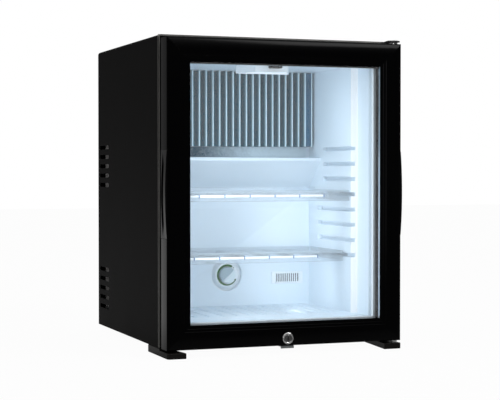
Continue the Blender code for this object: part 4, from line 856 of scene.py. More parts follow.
# Painted shade: the fins turn dark teal from their tips back towards the plate, for the shade between them.
ALUMINIUM_FIN_SHADE = PaintedShadeFinish(
    "aluminium", (0.62, 0.84, 0.92), (0.78, 0.93, 0.98), 0.30, spread=0.08, grain=Grain.DRAWN,
    scale=900.0, depth=0.00003, metallic=0.15, specular=0.2, dust=0.004, deep=(0.004, 0.170, 0.250),
    along=1, pale_at=0.0312, deep_at=0.0395, broken=0.15)
# Painted shadow: a thin sheet under the cooling plate, pale at the right and dark teal towards the left.
UNDER_PLATE_SHADOW = PaintedShadeFinish(
    "under_plate_shadow", (0.66, 0.80, 0.88), (0.74, 0.86, 0.92), 0.55, spread=0.05, scale=500.0, depth=0.00010,
    specular=0.04, dust=0.004, deep=(0.0, 0.065, 0.115), along=0, pale_at=0.045, deep_at=-0.060)
# Painted shade: dark teal for the bar in the plate's last gap, where there is only shade.
END_GAP_SHADE = Finish(
    "end_gap_shade", (0.004, 0.075, 0.150), (0.010, 0.105, 0.190), 0.40, spread=0.08,
    grain=Grain.DRAWN, scale=900.0, depth=0.00004, metallic=0.2, specular=0.2, dust=0.004)
LOCK_METAL = Finish(
    "lock_metal", (0.20, 0.20, 0.20), (0.34, 0.34, 0.34), 0.20, spread=0.06, grain=Grain.MOULDED,
    scale=60.0, depth=0.00004, metallic=1.0)
SPACER_METAL = PerforatedFinish(
    "spacer_metal", (0.84, 0.87, 0.92), (0.94, 0.96, 1.0), 0.30, grain=Grain.DRAWN, scale=900.0,
    depth=0.00003, metallic=0.7, pitch=0.0048, radius=0.0008)
GALVANISED = Finish(
    "galvanised", (0.40, 0.42, 0.43), (0.58, 0.60, 0.61), 0.42, spread=0.10, grain=Grain.SPANGLE,
    scale=150.0, depth=0.00005, metallic=1.0, dust=0.15)
CHROME = Finish(
    "chrome", (0.78, 0.78, 0.78), (0.84, 0.84, 0.84), 0.12, grain=Grain.MOULDED, scale=60.0,
    depth=0.00003, metallic=1.0)
BLACK_STEEL = Finish(
    "black_steel", (0.010, 0.010, 0.011), (0.020, 0.020, 0.021), 0.46, spread=0.10, scale=500.0,
    depth=0.00010, dust=0.30)
ALUMINIUM_PLAIN = Finish(
    "aluminium_plain", (0.58, 0.60, 0.62), (0.70, 0.72, 0.74), 0.40, spread=0.08, grain=Grain.DRAWN,
    scale=700.0, depth=0.00003, metallic=1.0, dust=0.10)
WELD_STEEL = Finish(
    "weld_steel", (0.018, 0.017, 0.017), (0.040, 0.037, 0.035), 0.60, spread=0.12, scale=900.0,
    depth=0.00030, dust=0.15)
SCREW_BLACK = Finish(
    "screw_black", (0.012, 0.014, 0.016), (0.030, 0.033, 0.036), 0.36, spread=0.08, scale=1500.0,
    depth=0.00002, specular=0.6)
SCREW_ZINC = Finish(
    "screw_zinc", (0.52, 0.53, 0.52), (0.66, 0.66, 0.63), 0.30, spread=0.08, scale=1500.0,
    depth=0.00002, metallic=1.0)
MARK_GREEN = Finish(
    "mark_green", (0.0, 0.095, 0.004), (0.0, 0.125, 0.010), 0.60, scale=1500.0, depth=0.00002,
    specular=0.03)
GAUZE = PerforatedFinish(
    "gauze", (0.002, 0.020, 0.022), (0.004, 0.032, 0.035), 0.7, pitch=0.0014, radius=0.0004,
    scale=1400.0, depth=0.00004, specular=0.05)
# Painted highlight: opaque white for bars on the trays' clear front edge, standing in for the lit edge.
EDGE_HIGHLIGHT_WHITE = Finish(
    "edge_highlight_white", (0.93, 0.97, 1.0), (0.97, 0.99, 1.0), 0.42, scale=1500.0, depth=0.00004)
GLASS = GlassFinish("glass", (0.975, 0.99, 1.0))

NODE_FINISHES: dict[str, object] = {node: finish for finish, nodes in (
    (CABINET_PAINT, "outer_shell bottom_panel"), (WHITE_LINER_LEDGE_HIGHLIGHT, "inner_liner"), (FOAM, "foam_insulation"),
    (GALVANISED, "rear_panel lock_cam lock_keeper boiler_jacket unit_strap"),
    (GREY_PLASTIC, "drain_tube thermostat_body temperature_sensor"),
    (ALUMINIUM_FIN_SHADE, "evaporator_fin_plate evaporator_block condenser_fins"),
    (BLACK_STEEL, "evaporator_tube top_hinge_bracket boiler_tube condenser_tube gas_heat_exchanger"
                  " absorber_coil absorber_vessel liquid_heat_exchanger"),
    (WHITE_PLASTIC, "lamp_housing thermostat_dial sensor_cover lower_hinge_bush upper_hinge_bush"
                    " inner_door_frame"),
    (LAMP_LENS, "lamp_lens"), (CIRCUIT_BOARD, "led_board"), (KNOB_PLASTIC_HALF_SHADE, "thermostat_knob"),
    (BLACK_PLASTIC, "door_switch_body switch_plunger junction_box cable_gland"),
    (CLEAR_PLASTIC, "upper_shelf lower_shelf"), (GRIP_PLASTIC, "left_grip right_grip"),
    (DOOR_GLOSS, "left_stile right_stile top_rail bottom_rail"), (GLASS, "outer_glass inner_glass"),
    (SPACER_METAL, "glazing_spacer"), (BLACK_RUBBER, "glazing_sealant magnet_strip"),
    (WHITE_RUBBER, "door_gasket"), (LOCK_METAL, "lock_plug"),
    (CHROME, "lock_housing lower_hinge_pin upper_hinge_pin heating_element"),
    (FOOT_PLASTIC, "left_front_foot right_front_foot left_rear_foot right_rear_foot"))
    for node in nodes.split()}


# Pieces on the frame

def body_of(node: str) -> str:
    """The CAD body that a node belongs to."""
    return frame["nodes"][node]["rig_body"]


def meshed(shape: Shape) -> bpy.types.Mesh:
    """A shape as a mesh."""
    return shape.mesh("solid") if isinstance(shape, Surface) else shape


def linked(name: str, data: bpy.types.ID) -> bpy.types.Object:
    """A new object in the scene.

    Args:
        name: the object's name.
        data: its mesh, lamp or camera.

    Returns:
        The object.
    """
    obj = bpy.data.objects.new(name, data)
    bpy.context.scene.collection.objects.link(obj)
    return obj


def lay(name: str, shape: Shape, finish: object, body: str, stands_for: Iterable[str] = (),
        smooth: float = 30.0, edge: float = 0.0, segments: int = 2) -> bpy.types.Object:
    """Put a finished piece on the frame.

    Args:
        name: name of the piece.
        shape: its surface, or its mesh in the model's frame.
        finish: what gives it its material.
        body: the CAD body that it rides on.
        stands_for: CAD nodes that it replaces.
        smooth: edges sharper than this many degrees stay sharp.
        edge: width of the rounding put on sharp edges; 0 for none.
        segments: pieces of that rounding.

    Returns:
        The new object.
    """
    mesh = meshed(shape)
    mesh.name = name
    obj = linked(name, mesh)
    mesh.materials.clear()
    mesh.materials.append(finish.material())
    mesh.shade_smooth()
    mesh.set_sharp_from_angle(angle=math.radians(smooth))
    if edge:
        bevel = obj.modifiers.new("edge", "BEVEL")
        bevel.width = edge
        bevel.segments = segments
        bevel.limit_method = "ANGLE"
        bevel.angle_limit = math.radians(smooth)
        bevel.harden_normals = True
    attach(obj, body)
    for node in stands_for:
        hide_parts(node)
    LOG.info("%s: %d faces on %s", name, len(mesh.polygons), body)
    return obj


def added(name: str, shape: Shape, finish: object, body: str, smooth: float = 30.0) -> None:
    """Lay a piece that replaces no node.

    Args:
        name: name of the piece.
        shape: its surface or mesh.
        finish: what gives it its material.
        body: the CAD body that it rides on.
        smooth: edges sharper than this many degrees stay sharp.
    """
    lay(name, shape, finish, body, smooth=smooth)


def combined(shape: Shape, others: Iterable[Shape], operation: str) -> bpy.types.Mesh:
    """Combine a solid with other solids, one after another, with exact Booleans.

    Args:
        shape: the first solid.
        others: the solids that are put to it or taken out of it.
        operation: DIFFERENCE or UNION.

    Returns:
        The new mesh.
    """
    body = linked("body", meshed(shape))
    tools = [linked("tool", meshed(other)) for other in others]
    for tool in tools:
        step = body.modifiers.new("step", "BOOLEAN")
        step.operation, step.solver, step.object = operation, "EXACT", tool
    bpy.context.view_layer.update()
    result = bpy.data.meshes.new_from_object(body.evaluated_get(bpy.context.evaluated_depsgraph_get()))
    for obj in [body, *tools]:
        bpy.data.objects.remove(obj)
    return welded(result, MERGE / 2)


def carved(shape: Shape, cutters: Iterable[Shape]) -> bpy.types.Mesh:
    """A solid with other solids taken out of it."""
    return combined(shape, cutters, "DIFFERENCE")


def joined(shape: Shape, others: Iterable[Shape]) -> bpy.types.Mesh:
    """A solid made one with other solids."""
    return combined(shape, others, "UNION")


def merged_copy(node: str) -> bpy.types.Mesh:
    """A CAD node's mesh as a copy with its points merged and its flat sides made whole."""
    return welded(frame["nodes"][node].data.copy(), MERGE, dissolve=0.4)


def refine(node: str, edge: float, segments: int = 2, smooth: float = 30.0) -> bpy.types.Object:
    """Show a CAD node as a copy whose sharp edges are rounded.

    Args:
        node: name of the CAD node.
        edge: width of the rounding.
        segments: pieces of the rounding.
        smooth: edges sharper than this many degrees are rounded.

    Returns:
        The new object.
    """
    return lay(node + "_rounded", merged_copy(node), NODE_FINISHES[node], body_of(node), (node,),
               smooth, edge, segments)


# Studio

@dataclass
class Studio:
    """Camera at the photograph's angle, a pale floor, soft lamps and a white surround."""

    lens: float = 101.25
    place: Axis = (-0.8438, -2.28295, 0.2949)
    pitch: float = 1.262
    heading: float = -20.60
    reach: float = 8.0
    pale: float = 0.90
    unlit: float = 0.965
    ambient: float = 0.40
    subject: Axis = (0.0, 0.0, 0.25)
    cool: Axis = (0.95, 0.98, 1.0)

    def camera(self) -> None:
        """Make the camera and give it to the scene."""
        data = bpy.data.cameras.new("camera")
        data.lens, data.sensor_width = self.lens, 36.0
        data.clip_start, data.clip_end = 0.05, 50.0
        obj = linked("camera", data)
        obj.location = self.place
        obj.rotation_euler = (math.radians(90.0 - self.pitch), 0.0, math.radians(self.heading))
        bpy.context.scene.camera = obj

    @staticmethod
    def rays(w: NodeTree) -> tuple[Socket, Socket]:
        """Masks of the rays that see the studio straight or through glass, and of those and mirrored ones.

        Args:
            w: the tree to add to.

        Returns:
            The two masks.
        """
        path = w.add("ShaderNodeLightPath")
        direct = w.math("MAXIMUM", path.outputs["Is Camera Ray"], path.outputs["Is Transmission Ray"])
        return direct, w.math("MAXIMUM", direct, path.outputs["Is Glossy Ray"])

    def floor(self) -> None:
        """Pale floor that keeps a soft shadow, and that mirrors dimly towards the front."""
        mesh = bpy.data.meshes.new("floor")
        corners = [(x * self.reach, y * self.reach, 0.0) for x, y in ((-1, -1), (1, -1), (1, 1), (-1, 1))]
        mesh.from_pydata(corners, [], [(0, 1, 2, 3)])
        material = bpy.data.materials.new("pale_floor")
        material.use_nodes = True
        material.node_tree.nodes.clear()
        w = NodeTree(material.node_tree)
        direct, seen = self.rays(w)
        near = w.spread(w.parts(w.add("ShaderNodeTexCoord").outputs["Object"])[1], 0.05, 0.9, -0.45, 0.35)
        pale = w.add("ShaderNodeBsdfDiffuse", {"Color": (self.pale, self.pale, self.pale, 1.0)})
        white = w.add("ShaderNodeEmission", {"Color": (1.0, 1.0, 1.0, 1.0),
                                             "Strength": w.math("MAXIMUM", near, direct)})
        both = w.add("ShaderNodeMixShader", {0: w.math("MULTIPLY", seen, self.unlit), 1: pale.outputs[0],
                                             2: white.outputs[0]})
        w.add("ShaderNodeOutputMaterial", {0: both.outputs[0]})
        mesh.materials.append(material)
        linked("floor", mesh)

    def surround(self) -> None:
        """World that is white where it is seen, dimmer where it lights, and mirrored mostly from above."""
        world = bpy.data.worlds.new("surround")
        bpy.context.scene.world = world
        world.use_nodes = True
        world.node_tree.nodes.clear()
        w = NodeTree(world.node_tree)
        direct, seen = self.rays(w)
        white = (1.0, 1.0, 1.0, 1.0)
        light = w.add("ShaderNodeBackground", {"Color": white, "Strength": self.ambient})
        _, rearward, upward = w.parts(w.add("ShaderNodeTexCoord").outputs["Generated"])
        mirrored = w.math("MAXIMUM", w.spread(rearward, 0.05, 0.22, -0.55, 0.05),
                          w.spread(upward, 0.0, 0.90, 0.12, 0.65))
        strength = w.math("MAXIMUM", mirrored, direct)
        shown = w.add("ShaderNodeBackground", {"Color": white, "Strength": strength})
        both = w.add("ShaderNodeMixShader", {0: seen, 1: light.outputs[0], 2: shown.outputs[0]})
        w.add("ShaderNodeOutputWorld", {0: both.outputs[0]})

    def lamp(self, name: str, place: Iterable[float], aim: Iterable[float], size: tuple[float, float],
             watts: float, colour: Axis = (1.0, 1.0, 1.0), spread: float = 180.0) -> None:
        """Add a soft lamp.

        Args:
            name: name of the lamp.
            place: where it stands.
            aim: what it faces.
            size: width and height of its face.
            watts: its power.
            colour: its colour.
            spread: angle in degrees over which it sends its light.
        """
        data = bpy.data.lights.new(name, "AREA")
        data.spread = math.radians(spread)
        data.shape = "RECTANGLE"
        data.size, data.size_y = size
        data.energy = watts
        data.color = colour
        obj = linked(name, data)
        obj.location = tuple(place)
        obj.rotation_euler = (Vector(aim) - obj.location).to_track_quat("-Z", "Y").to_euler()
        obj.visible_camera = obj.visible_transmission = False

    def build(self) -> None:
        """Set up the whole studio, with two lamps outside and four in the cabinet."""
        bpy.context.scene.view_settings.view_transform = "Standard"
        self.camera()
        self.floor()
        self.surround()
        self.lamp("key", (1.4, -1.9, 1.9), self.subject, (1.4, 1.0), 26.0)
        self.lamp("fill", (-2.3, -0.85, 0.45), self.subject, (0.9, 1.1), 7.0)
        low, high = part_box("lamp_lens")
        middle = (low + high) / 2
        self.lamp("cabin", (middle.x, middle.y, low.z - 0.002), (middle.x, middle.y + 0.01, 0.0),
                  (0.075, 0.036), 0.12, (0.86, 0.94, 1.0))
        for name, place, way, *rest in (
                ("mouth", (0.010, -0.020, 0.240), (0.0, 1.0, 0.0), (0.30, 0.40), 0.32, (0.93, 0.97, 1.0)),
                ("left", (-0.120, 0.002, 0.215), (0.15, 0.07, 0.0), (0.05, 0.27), 0.16, self.cool, 140.0),
                ("deep", (0.062, 0.080, 0.150), (0.075, 0.145, 0.0), (0.03, 0.22), 0.064, self.cool, 110.0)):
            self.lamp(name, SHIFT + place, SHIFT + place + way, *rest)


# Fasteners

@dataclass(frozen=True)
class CrossScrew:
    """A pan-head screw with a cross pressed into it."""

    seat: Axis
    out: Axis
    radius: float
    rise: float
    turn: float

    def surface(self, steps: int = 40) -> Surface:
        """Work out the head.

        Height over the seat is rise·(1 − 0.55·share⁴), with share the distance from the middle over
        the radius, less 0.75·rise times a mask: the mask is one where the smaller of the two
        distances across the cross is under 0.14 radius and the larger one under 0.58 radius, and
        falls off in a short ramp.

        Args:
            steps: points round the head.

        Returns:
            The head's surface.
        """
        out = np.asarray(self.out, float)
        side = np.cross(out, (0.31, 0.57, 0.76))
        side /= np.linalg.norm(side)
        other = np.cross(out, side)
        share = np.array((0.0, 0.09, 0.17, 0.26, 0.36, 0.46, 0.55, 0.64, 0.80, 0.93, 1.0, 1.0))[:, None]
        angle = np.linspace(0.0, 2 * math.pi, steps, endpoint=False) + math.radians(self.turn)
        u, v = share * np.cos(angle), share * np.sin(angle)
        near, far = np.minimum(np.abs(u), np.abs(v)), np.maximum(np.abs(u), np.abs(v))
        mask = np.clip((0.14 - near) / 0.06 + 0.5, 0, 1) * np.clip((0.58 - far) / 0.08 + 0.5, 0, 1)
        height = self.rise * (1 - 0.55 * share ** 4 - 0.75 * mask)
        height[-1] = 0.0
        sheet = (np.asarray(self.seat) + self.radius * (u[..., None] * side + v[..., None] * other)
                 + height[..., None] * out)
        return Surface().grid(sheet, wrap_columns=True).cap(sheet[-1])


def screw_set(name: str, seats: Iterable[Axis], out: Axis, size: tuple[float, float],
              turns: Iterable[float], zinc: bool = True) -> None:
    """Lay a set of equal screws on the cabinet as one piece.

    Args:
        name: name of the piece.
        seats: where each screw stands.
        out: the way their heads face.
        size: radius and height of a head.
        turns: angle in degrees of each cross.
        zinc: whether they are zinc plated, or else black.
    """
    heads = gathered(CrossScrew(seat, out, *size, turn).surface() for seat, turn in zip(seats, turns))
    finish, slot = (SCREW_ZINC, "galvanised") if zinc else (SCREW_BLACK, "black_steel")
    added(name, heads, finish, "cabinet", 35.0)


# Sub-assemblies

@dataclass
class DoorFrame:
    """Four mitred gloss-black members with a crowned outer edge and two fine ridges."""

    crown_width: float = 0.020
    crown_depth: float = 0.004
    rear_chamfer: tuple[float, float] = (0.003, 0.005)
    member_width: float = 0.0382
    ridges: tuple[float, float] = (0.0105, 0.006)
    ridge_drop: float = 0.0008
    ridge_slope: float = 0.0007
    recess: float = 0.003
    glass_inset: float = 0.027
    glazing_depth: float = 0.0195
    bead_inset: float = 0.0354
    bead_depth: float = 0.0277
    skin_width: float = 0.0175
    mitre_gap: float = 0.0001
    crown_steps: int = 28
    chip: float = 0.0003
    bush_bore: float = 0.0051
    bush_depth: float = 0.0101
    pocket_x: tuple[float, float] = (0.185, 0.22)
    pocket_y: tuple[float, float] = (0.0025, 0.034)
    pocket_z: tuple[float, float] = (0.174, 0.312)
    barrel_bore: float = 0.0083
    shade_strip_half: float = 0.1626

    def profile(self) -> np.ndarray:
        """Section as inset from the door's edge and depth behind its front.

        The crown is a quarter ellipse: inset is width·(1−cos), depth is height·(1−sin).

        Returns:
            The section's corners.
        """
        angle = np.linspace(0.0, math.pi / 2, self.crown_steps + 1)
        crown = np.stack((self.crown_width * (1 - np.cos(angle)), self.crown_depth * (1 - np.sin(angle))),
                         axis=1)
        face, depth = [], 0.0
        for distance in self.ridges:
            start = self.member_width - distance
            face += [(start, depth), (start + self.ridge_slope, depth + self.ridge_drop)]
            depth += self.ridge_drop
        lip = self.recess - FIT_GAP
        pocket = self.glass_inset - FIT_GAP
        rear = self.glazing_depth + FIT_GAP
        face += [(self.member_width - self.chip, depth), (self.member_width, depth + self.chip),
                 (self.member_width, lip), (pocket, lip), (pocket, rear), (self.bead_inset, rear),
                 (self.bead_inset, self.bead_depth), (self.skin_width, self.bead_depth),
                 (self.skin_width, DOOR_THICKNESS)]
        chamfer = [(self.rear_chamfer[0], DOOR_THICKNESS), (0.0, DOOR_THICKNESS - self.rear_chamfer[1])]
        return np.vstack((chamfer, crown, face))

    def member(self, kind: str, way: int) -> Surface:
        """One member: the section run between the two mitre planes at its ends.

        Args:
            kind: stile or rail.
            way: -1 for left or bottom, 1 for right or top.

        Returns:
            The member.
        """
        inset, depth = self.profile().T
        inset_end = inset + self.mitre_gap
        ends = []
        for far in (-1, 1):
            if kind == "stile":
                z = DOOR_BOTTOM + inset_end if far < 0 else DOOR_TOP - inset_end
                x = way * (HALF_WIDTH - inset)
            else:
                x = far * (HALF_WIDTH - inset_end)
                z = DOOR_BOTTOM + inset if way < 0 else DOOR_TOP - inset
            ends.append(np.stack((x, DOOR_FRONT + depth, z), axis=1))
        return Surface().grid(np.stack(ends), wrap_columns=True).cap(ends[0]).cap(ends[1])

    def cutters(self) -> dict[str, list[Surface]]:
        """What is cut out of each member: pin bushes, grip pockets, the lock's barrel and its cam's path.

        Returns:
            Solids for each member's node.
        """
        bores = ((DOOR_BOTTOM - 0.0106, DOOR_BOTTOM + self.bush_depth),
                 (DOOR_TOP - self.bush_depth, DOOR_TOP + 0.0129))
        lower, upper = (rod(self.bush_bore, start, end, HINGE, (0, 0, 1)) for start, end in bores)
        left, right = (prism("Y", np.array([(x, z) for x, z in zip((*ends, *ends[::-1]),
                                                                   np.repeat(self.pocket_z, 2))]),
                             *(DOOR_FRONT + np.array(self.pocket_y)))
                       for ends in ((-self.pocket_x[1], -self.pocket_x[0]), self.pocket_x))
        barrel = rod(self.barrel_bore, -0.02, 0.0126, (0.0, DOOR_FRONT, LOCK_HEIGHT), (0, 1, 0), 40)
        cam = rounded_block((-0.0055, DOOR_FRONT + 0.012, -0.01), (0.0175, DOOR_FRONT + 0.0161, 0.0181),
                            0.0004, 1)
        return {"left_stile": [left], "right_stile": [right, lower, upper], "top_rail": [upper],
                "bottom_rail": [lower, barrel, cam]}

    def build(self) -> None:
        """Cut and place the four members, and a black strip behind the glass's top edge that paints the shade
        under the top rail.
        """
        edge = DOOR_TOP - self.member_width
        # Black strip along the top edge only: painted shade where the spacer and inner frame lie in shadow.
        shade_strip = rounded_block((-self.shade_strip_half, DOOR_FRONT + 0.0073, edge - 0.0026),
                               (self.shade_strip_half, DOOR_FRONT + 0.0079, edge + 0.0006), 0.0002, 1)
        added("glass_top_shade_strip", shade_strip, BLACK_RUBBER, "door")
        cutters = self.cutters()
        for node, kind, way in (("left_stile", "stile", -1), ("right_stile", "stile", 1),
                                ("top_rail", "rail", 1), ("bottom_rail", "rail", -1)):
            lay(node + "_moulding", carved(self.member(kind, way), cutters[node]), DOOR_GLOSS, "door",
                (node,), smooth=28.0, edge=0.00018)


@dataclass
class Cabinet:
    """Painted wrap and floor sheet with soft folds, and the screws at the back."""

    fold: float = 0.0009
    flange: float = 0.0075
    panel_rear: float = 0.262
    bead: float = 0.0021
    proud: float = 0.00018
    skin: float = 0.0006
    short: float = 0.0004
    strip_x: tuple[float, float] = (0.1690, 0.1880)
    strip_y: tuple[float, float] = (0.3738, 0.3747)
    strip_z: tuple[float, float] = (0.0150, 0.4780)
    side_screws: tuple[float, ...] = (0.020, 0.147, 0.235, 0.362, 0.462)
    top_screws: tuple[float, ...] = (-0.12, 0.0, 0.12)
    panel_screws: tuple[float, ...] = (0.075, 0.262, 0.478)

    def front_highlight_bead(self) -> Surface:
        """Rolled front edge: a quarter circle round each outer corner line, up both sides and across.

        Returns:
            The three straight lengths of the bead.
        """
        outer = arc((0.0, 0.0), 1.0, 180.0, 270.0, 8)
        centre = self.bead - self.proud
        ring = np.vstack((centre + self.bead * outer, centre + (self.bead - self.skin) * outer[::-1]))
        left, right = (prism("Z", ring * (-side, 1) + (side * HALF_WIDTH, 0.0), 2 * self.short,
                             CABINET_HEIGHT - self.short) for side in (-1, 1))
        top = prism("X", (ring * (-1, 1) + (CABINET_HEIGHT, 0.0))[:, ::-1], -HALF_WIDTH + self.short,
                    HALF_WIDTH - self.short)
        return gathered((left, right, top))

    def inner_flanges(self) -> Surface:
        """Upright strips inside the rear opening, seen through the vents, pale so that the vents show painted
        light.
        """
        return gathered(rounded_block((min(ends), self.strip_y[0], self.strip_z[0]),
                                      (max(ends), self.strip_y[1], self.strip_z[1]), 0.0003, 1)
                        for ends in ([side * x for x in self.strip_x] for side in (-1, 1)))

    def build(self) -> None:
        """Place the wrap, the floor sheet and the screws."""
        refine("outer_shell", self.fold, 3, 25.0)
        refine("bottom_panel", 0.0004)
        # The rolled edge is painted lighter than the wrap: a painted highlight along the front fold.
        added("rolled_front_edge_highlight", self.front_highlight_bead(), FOLD_HIGHLIGHT_PAINT, "cabinet")
        added("rear_inner_flanges", self.inner_flanges(), PALE_VENT_LIGHT, "cabinet")
        side, top = HALF_WIDTH - self.flange, CABINET_HEIGHT - self.flange
        seats = [(way * side, CABINET_DEPTH, z) for way in (-1, 1) for z in self.side_screws]
        seats += [(x, CABINET_DEPTH, top) for x in self.top_screws]
        screw_set("rear_flange_screws", seats, (0, 1, 0), (0.0030, 0.0009),
                  37.0 * np.arange(len(seats)), False)
        seats = [(way * self.strip_x[1], self.panel_rear, z) for way in (-1, 1) for z in self.panel_screws]
        screw_set("panel_screws", seats, (0, 1, 0), (0.0034, 0.0017), 29.0 * np.arange(len(seats)))


@dataclass
class Liner:
    """Vacuum-formed liner with soft edges and ribs across its floor."""

    edge: float = 0.0011
    rib_pitch: float = 0.024
    rib_width: float = 0.0040
    rib_height: float = 0.0017
    rib_front: float = 0.052
    rib_rear: float = 0.214

    def ribs(self) -> Surface:
        """Half-round ribs: height times the root of (1 − across²), tapering to nought at both ends.

        Returns:
            All ribs.
        """
        across = np.linspace(-1.0, 1.0, 9)
        along = np.linspace(0.0, 1.0, 25)
        taper = np.clip(np.minimum(along, 1 - along) / 0.05, 0, 1)[:, None]
        rise = self.rib_height * np.sqrt(1 - across ** 2) * np.sqrt(taper)
        y = np.repeat((self.rib_front + (self.rib_rear - self.rib_front) * along)[:, None], 9, axis=1)
        count = int(CAVITY_HALF / self.rib_pitch)
        bodies = []
        for index in range(-count, count + 1):
            x = np.broadcast_to(index * self.rib_pitch + across * self.rib_width / 2, y.shape)
            top = np.stack((x, y, FLOOR_WALL + rise), axis=-1)
            bottom = np.stack((x, y, np.full(y.shape, FLOOR_WALL - 0.0006)), axis=-1)
            bodies.append(slab(top, bottom))
        return gathered(bodies)

    def build(self) -> None:
        """Place the liner and its ribs."""
        refine("inner_liner", self.edge, 3, 25.0)
        added("liner_floor_ribs", self.ribs(), WHITE_LINER_LEDGE_HIGHLIGHT, "cabinet", 50.0)


@dataclass
class Evaporator:
    """Comb-shaped cooling plate on the back wall, held by four screws."""

    fins: int = 24
    pitch: float = 0.0124
    thickness: float = 0.0018
    depth: float = 0.0257
    base: float = 0.004
    low: float = 0.322
    rounding: float = 0.00055
    band_half: float = 0.1436
    band_height: float = 0.0185
    screws: tuple = ((-0.062, 0.3835), (-0.062, 0.3455), (0.0744, 0.391), (0.0744, 0.354))

    @property
    def root(self) -> float:
        """Face of the plate between its fins, as a y in cabinet coordinates."""
        return CAVITY_DEPTH - FIT_GAP - self.base

    @property
    def half(self) -> float:
        """Half the plate's width."""
        return (self.fins - 1) * self.pitch / 2 + self.thickness / 2

    def plate(self) -> Surface:
        """The comb: tooth corners at every pitch, rounded, carried up from foot to ceiling.

        Returns:
            The comb as one body.
        """
        rear, tip = CAVITY_DEPTH - FIT_GAP, self.root - self.depth
        start = -self.half + self.pitch * np.arange(self.fins)
        x = start[:, None] + np.array((0.0, 0.0, self.thickness, self.thickness))
        y = np.broadcast_to(np.array((self.root, tip, tip, self.root)), x.shape)
        teeth = np.stack((x, y), axis=-1).reshape(-1, 2)[1:-1]
        corners = np.vstack((teeth, ((self.half, rear), (-self.half, rear))))
        return prism("Z", rounded_outline(corners, self.rounding, 3), self.low, CAVITY_TOP - FIT_GAP)

    def build(self) -> None:
        """Place the plate, a dark bar of painted shade in its last gap, the strip under it with its painted
        shadow, and its screws.
        """
        lay("cooling_plate", self.plate(), ALUMINIUM_FIN_SHADE, "cabinet", ("evaporator_fin_plate",), smooth=42.0,
            edge=0.00022, segments=1)
        tip = self.root - self.depth
        # Dark teal bar in the plate's last gap: painted shade.
        bar = rounded_block((self.half - self.pitch + 0.0004, tip + 0.0006, self.low + 0.0004),
                            (self.half - 0.0014, self.root + 0.0006, CAVITY_TOP - 0.0008), 0.0006, 2)
        added("cooling_plate_end_shade", bar, END_GAP_SHADE, "cabinet")
        # Thin strip on the back wall under the plate, painted with the plate's shadow, darker towards the
        # left.
        band = rounded_block((-self.band_half, CAVITY_DEPTH - 0.0010, self.low - self.band_height),
                             (self.band_half, CAVITY_DEPTH + 0.0004, self.low - 0.0004), 0.0004, 1)
        added("cooling_plate_shadow_band", band, UNDER_PLATE_SHADOW, "cabinet")
        screw_set("cooling_plate_screws", [(x, self.root, z) for x, z in self.screws], (0, -1, 0),
                  (0.0041, 0.0024), 23.0 * np.arange(len(self.screws)), False)


@dataclass
class LampUnit:
    """Trapezoid lamp under the ceiling with a ribbed lens, and the door switch in front of it."""

    front: float = 0.028
    rear: float = 0.071
    front_half: float = 0.0285
    rear_half: float = 0.0475
    height: float = 0.0135
    wall: float = 0.0018
    rib_pitch: float = 0.0026
    rib_depth: float = 0.00035
    switch_x: tuple[float, float] = (-0.0064, 0.0134)
    switch_y: tuple[float, float] = (0.0125, 0.0276)
    switch_height: float = 0.0072
    rod_radius: float = 0.0024
    rod_length: float = 0.0217
    rod_drop: float = 0.0036

    def lens(self) -> Surface:
        """Ribbed lens: its underside is a row of waves, amplitude times (1 + cosine of x over pitch).

        Returns:
            The closed lens.
        """
        gap = self.wall + 0.0006
        bottom = CAVITY_TOP - FIT_GAP - self.height
        share = np.linspace(-1.0, 1.0, 161)
        y = np.linspace(self.front + gap, self.rear - gap, 9)[:, None]
        half = (self.front_half + (self.rear_half - self.front_half) * (y - self.front)
                / (self.rear - self.front)) - gap * 1.08
        x = half * share
        wave = self.rib_depth * (1 + np.cos(x / self.rib_pitch * 2 * math.pi))
        edge = np.clip((1 - np.abs(share)) / 0.04, 0, 1)
        low = np.stack((x, np.broadcast_to(y, x.shape), bottom + 0.0001 + wave * edge), axis=-1)
        high = low.copy()
        high[..., 2] = bottom + self.wall
        return slab(high, low)

    def plunger(self) -> Surface:
        """Plunger of the switch: a rod with a round nose, in line with the door.

        Returns:
            The turned rod.
        """
        tip, length, radius = -0.009 + FIT_GAP, self.rod_length, self.rod_radius
        nose = np.linspace(0.0, math.pi / 2, 7)
        profile = np.stack((radius * np.sin(nose), radius * 0.8 * (1 - np.cos(nose))), axis=1)
        profile = np.vstack((profile, ((radius, length - 0.0005), (radius - 0.0005, length), (0.0, length))))
        return turned(profile, (0.0, tip, CAVITY_TOP - FIT_GAP - self.rod_drop), (0, 1, 0), 28)

    def switch(self) -> bpy.types.Mesh:
        """Switch body: a block with a round underside and a bore for the plunger.

        Returns:
            The bored block.
        """
        top = CAVITY_TOP - FIT_GAP
        (x0, x1), (y0, y1) = self.switch_x, self.switch_y
        body = rounded_block((x0, y0, top - self.switch_height), (x1, y1, top), 0.0017, 5)
        bore = rod(self.rod_radius + FIT_GAP, -0.004, 0.0135, (0.0, y0, top - self.rod_drop), (0, 1, 0))
        return carved(body, [bore])

    def build(self) -> None:
        """Place the housing, lens, switch and plunger."""
        refine("lamp_housing", 0.0009, 3)
        lay("switch_body", self.switch(), BLACK_PLASTIC, "cabinet", ("door_switch_body",))
        lay("ribbed_lens", self.lens(), LAMP_LENS, "cabinet", ("lamp_lens",), smooth=40.0)
        lay("round_nosed_plunger", self.plunger(), BLACK_PLASTIC, "plunger", ("switch_plunger",))


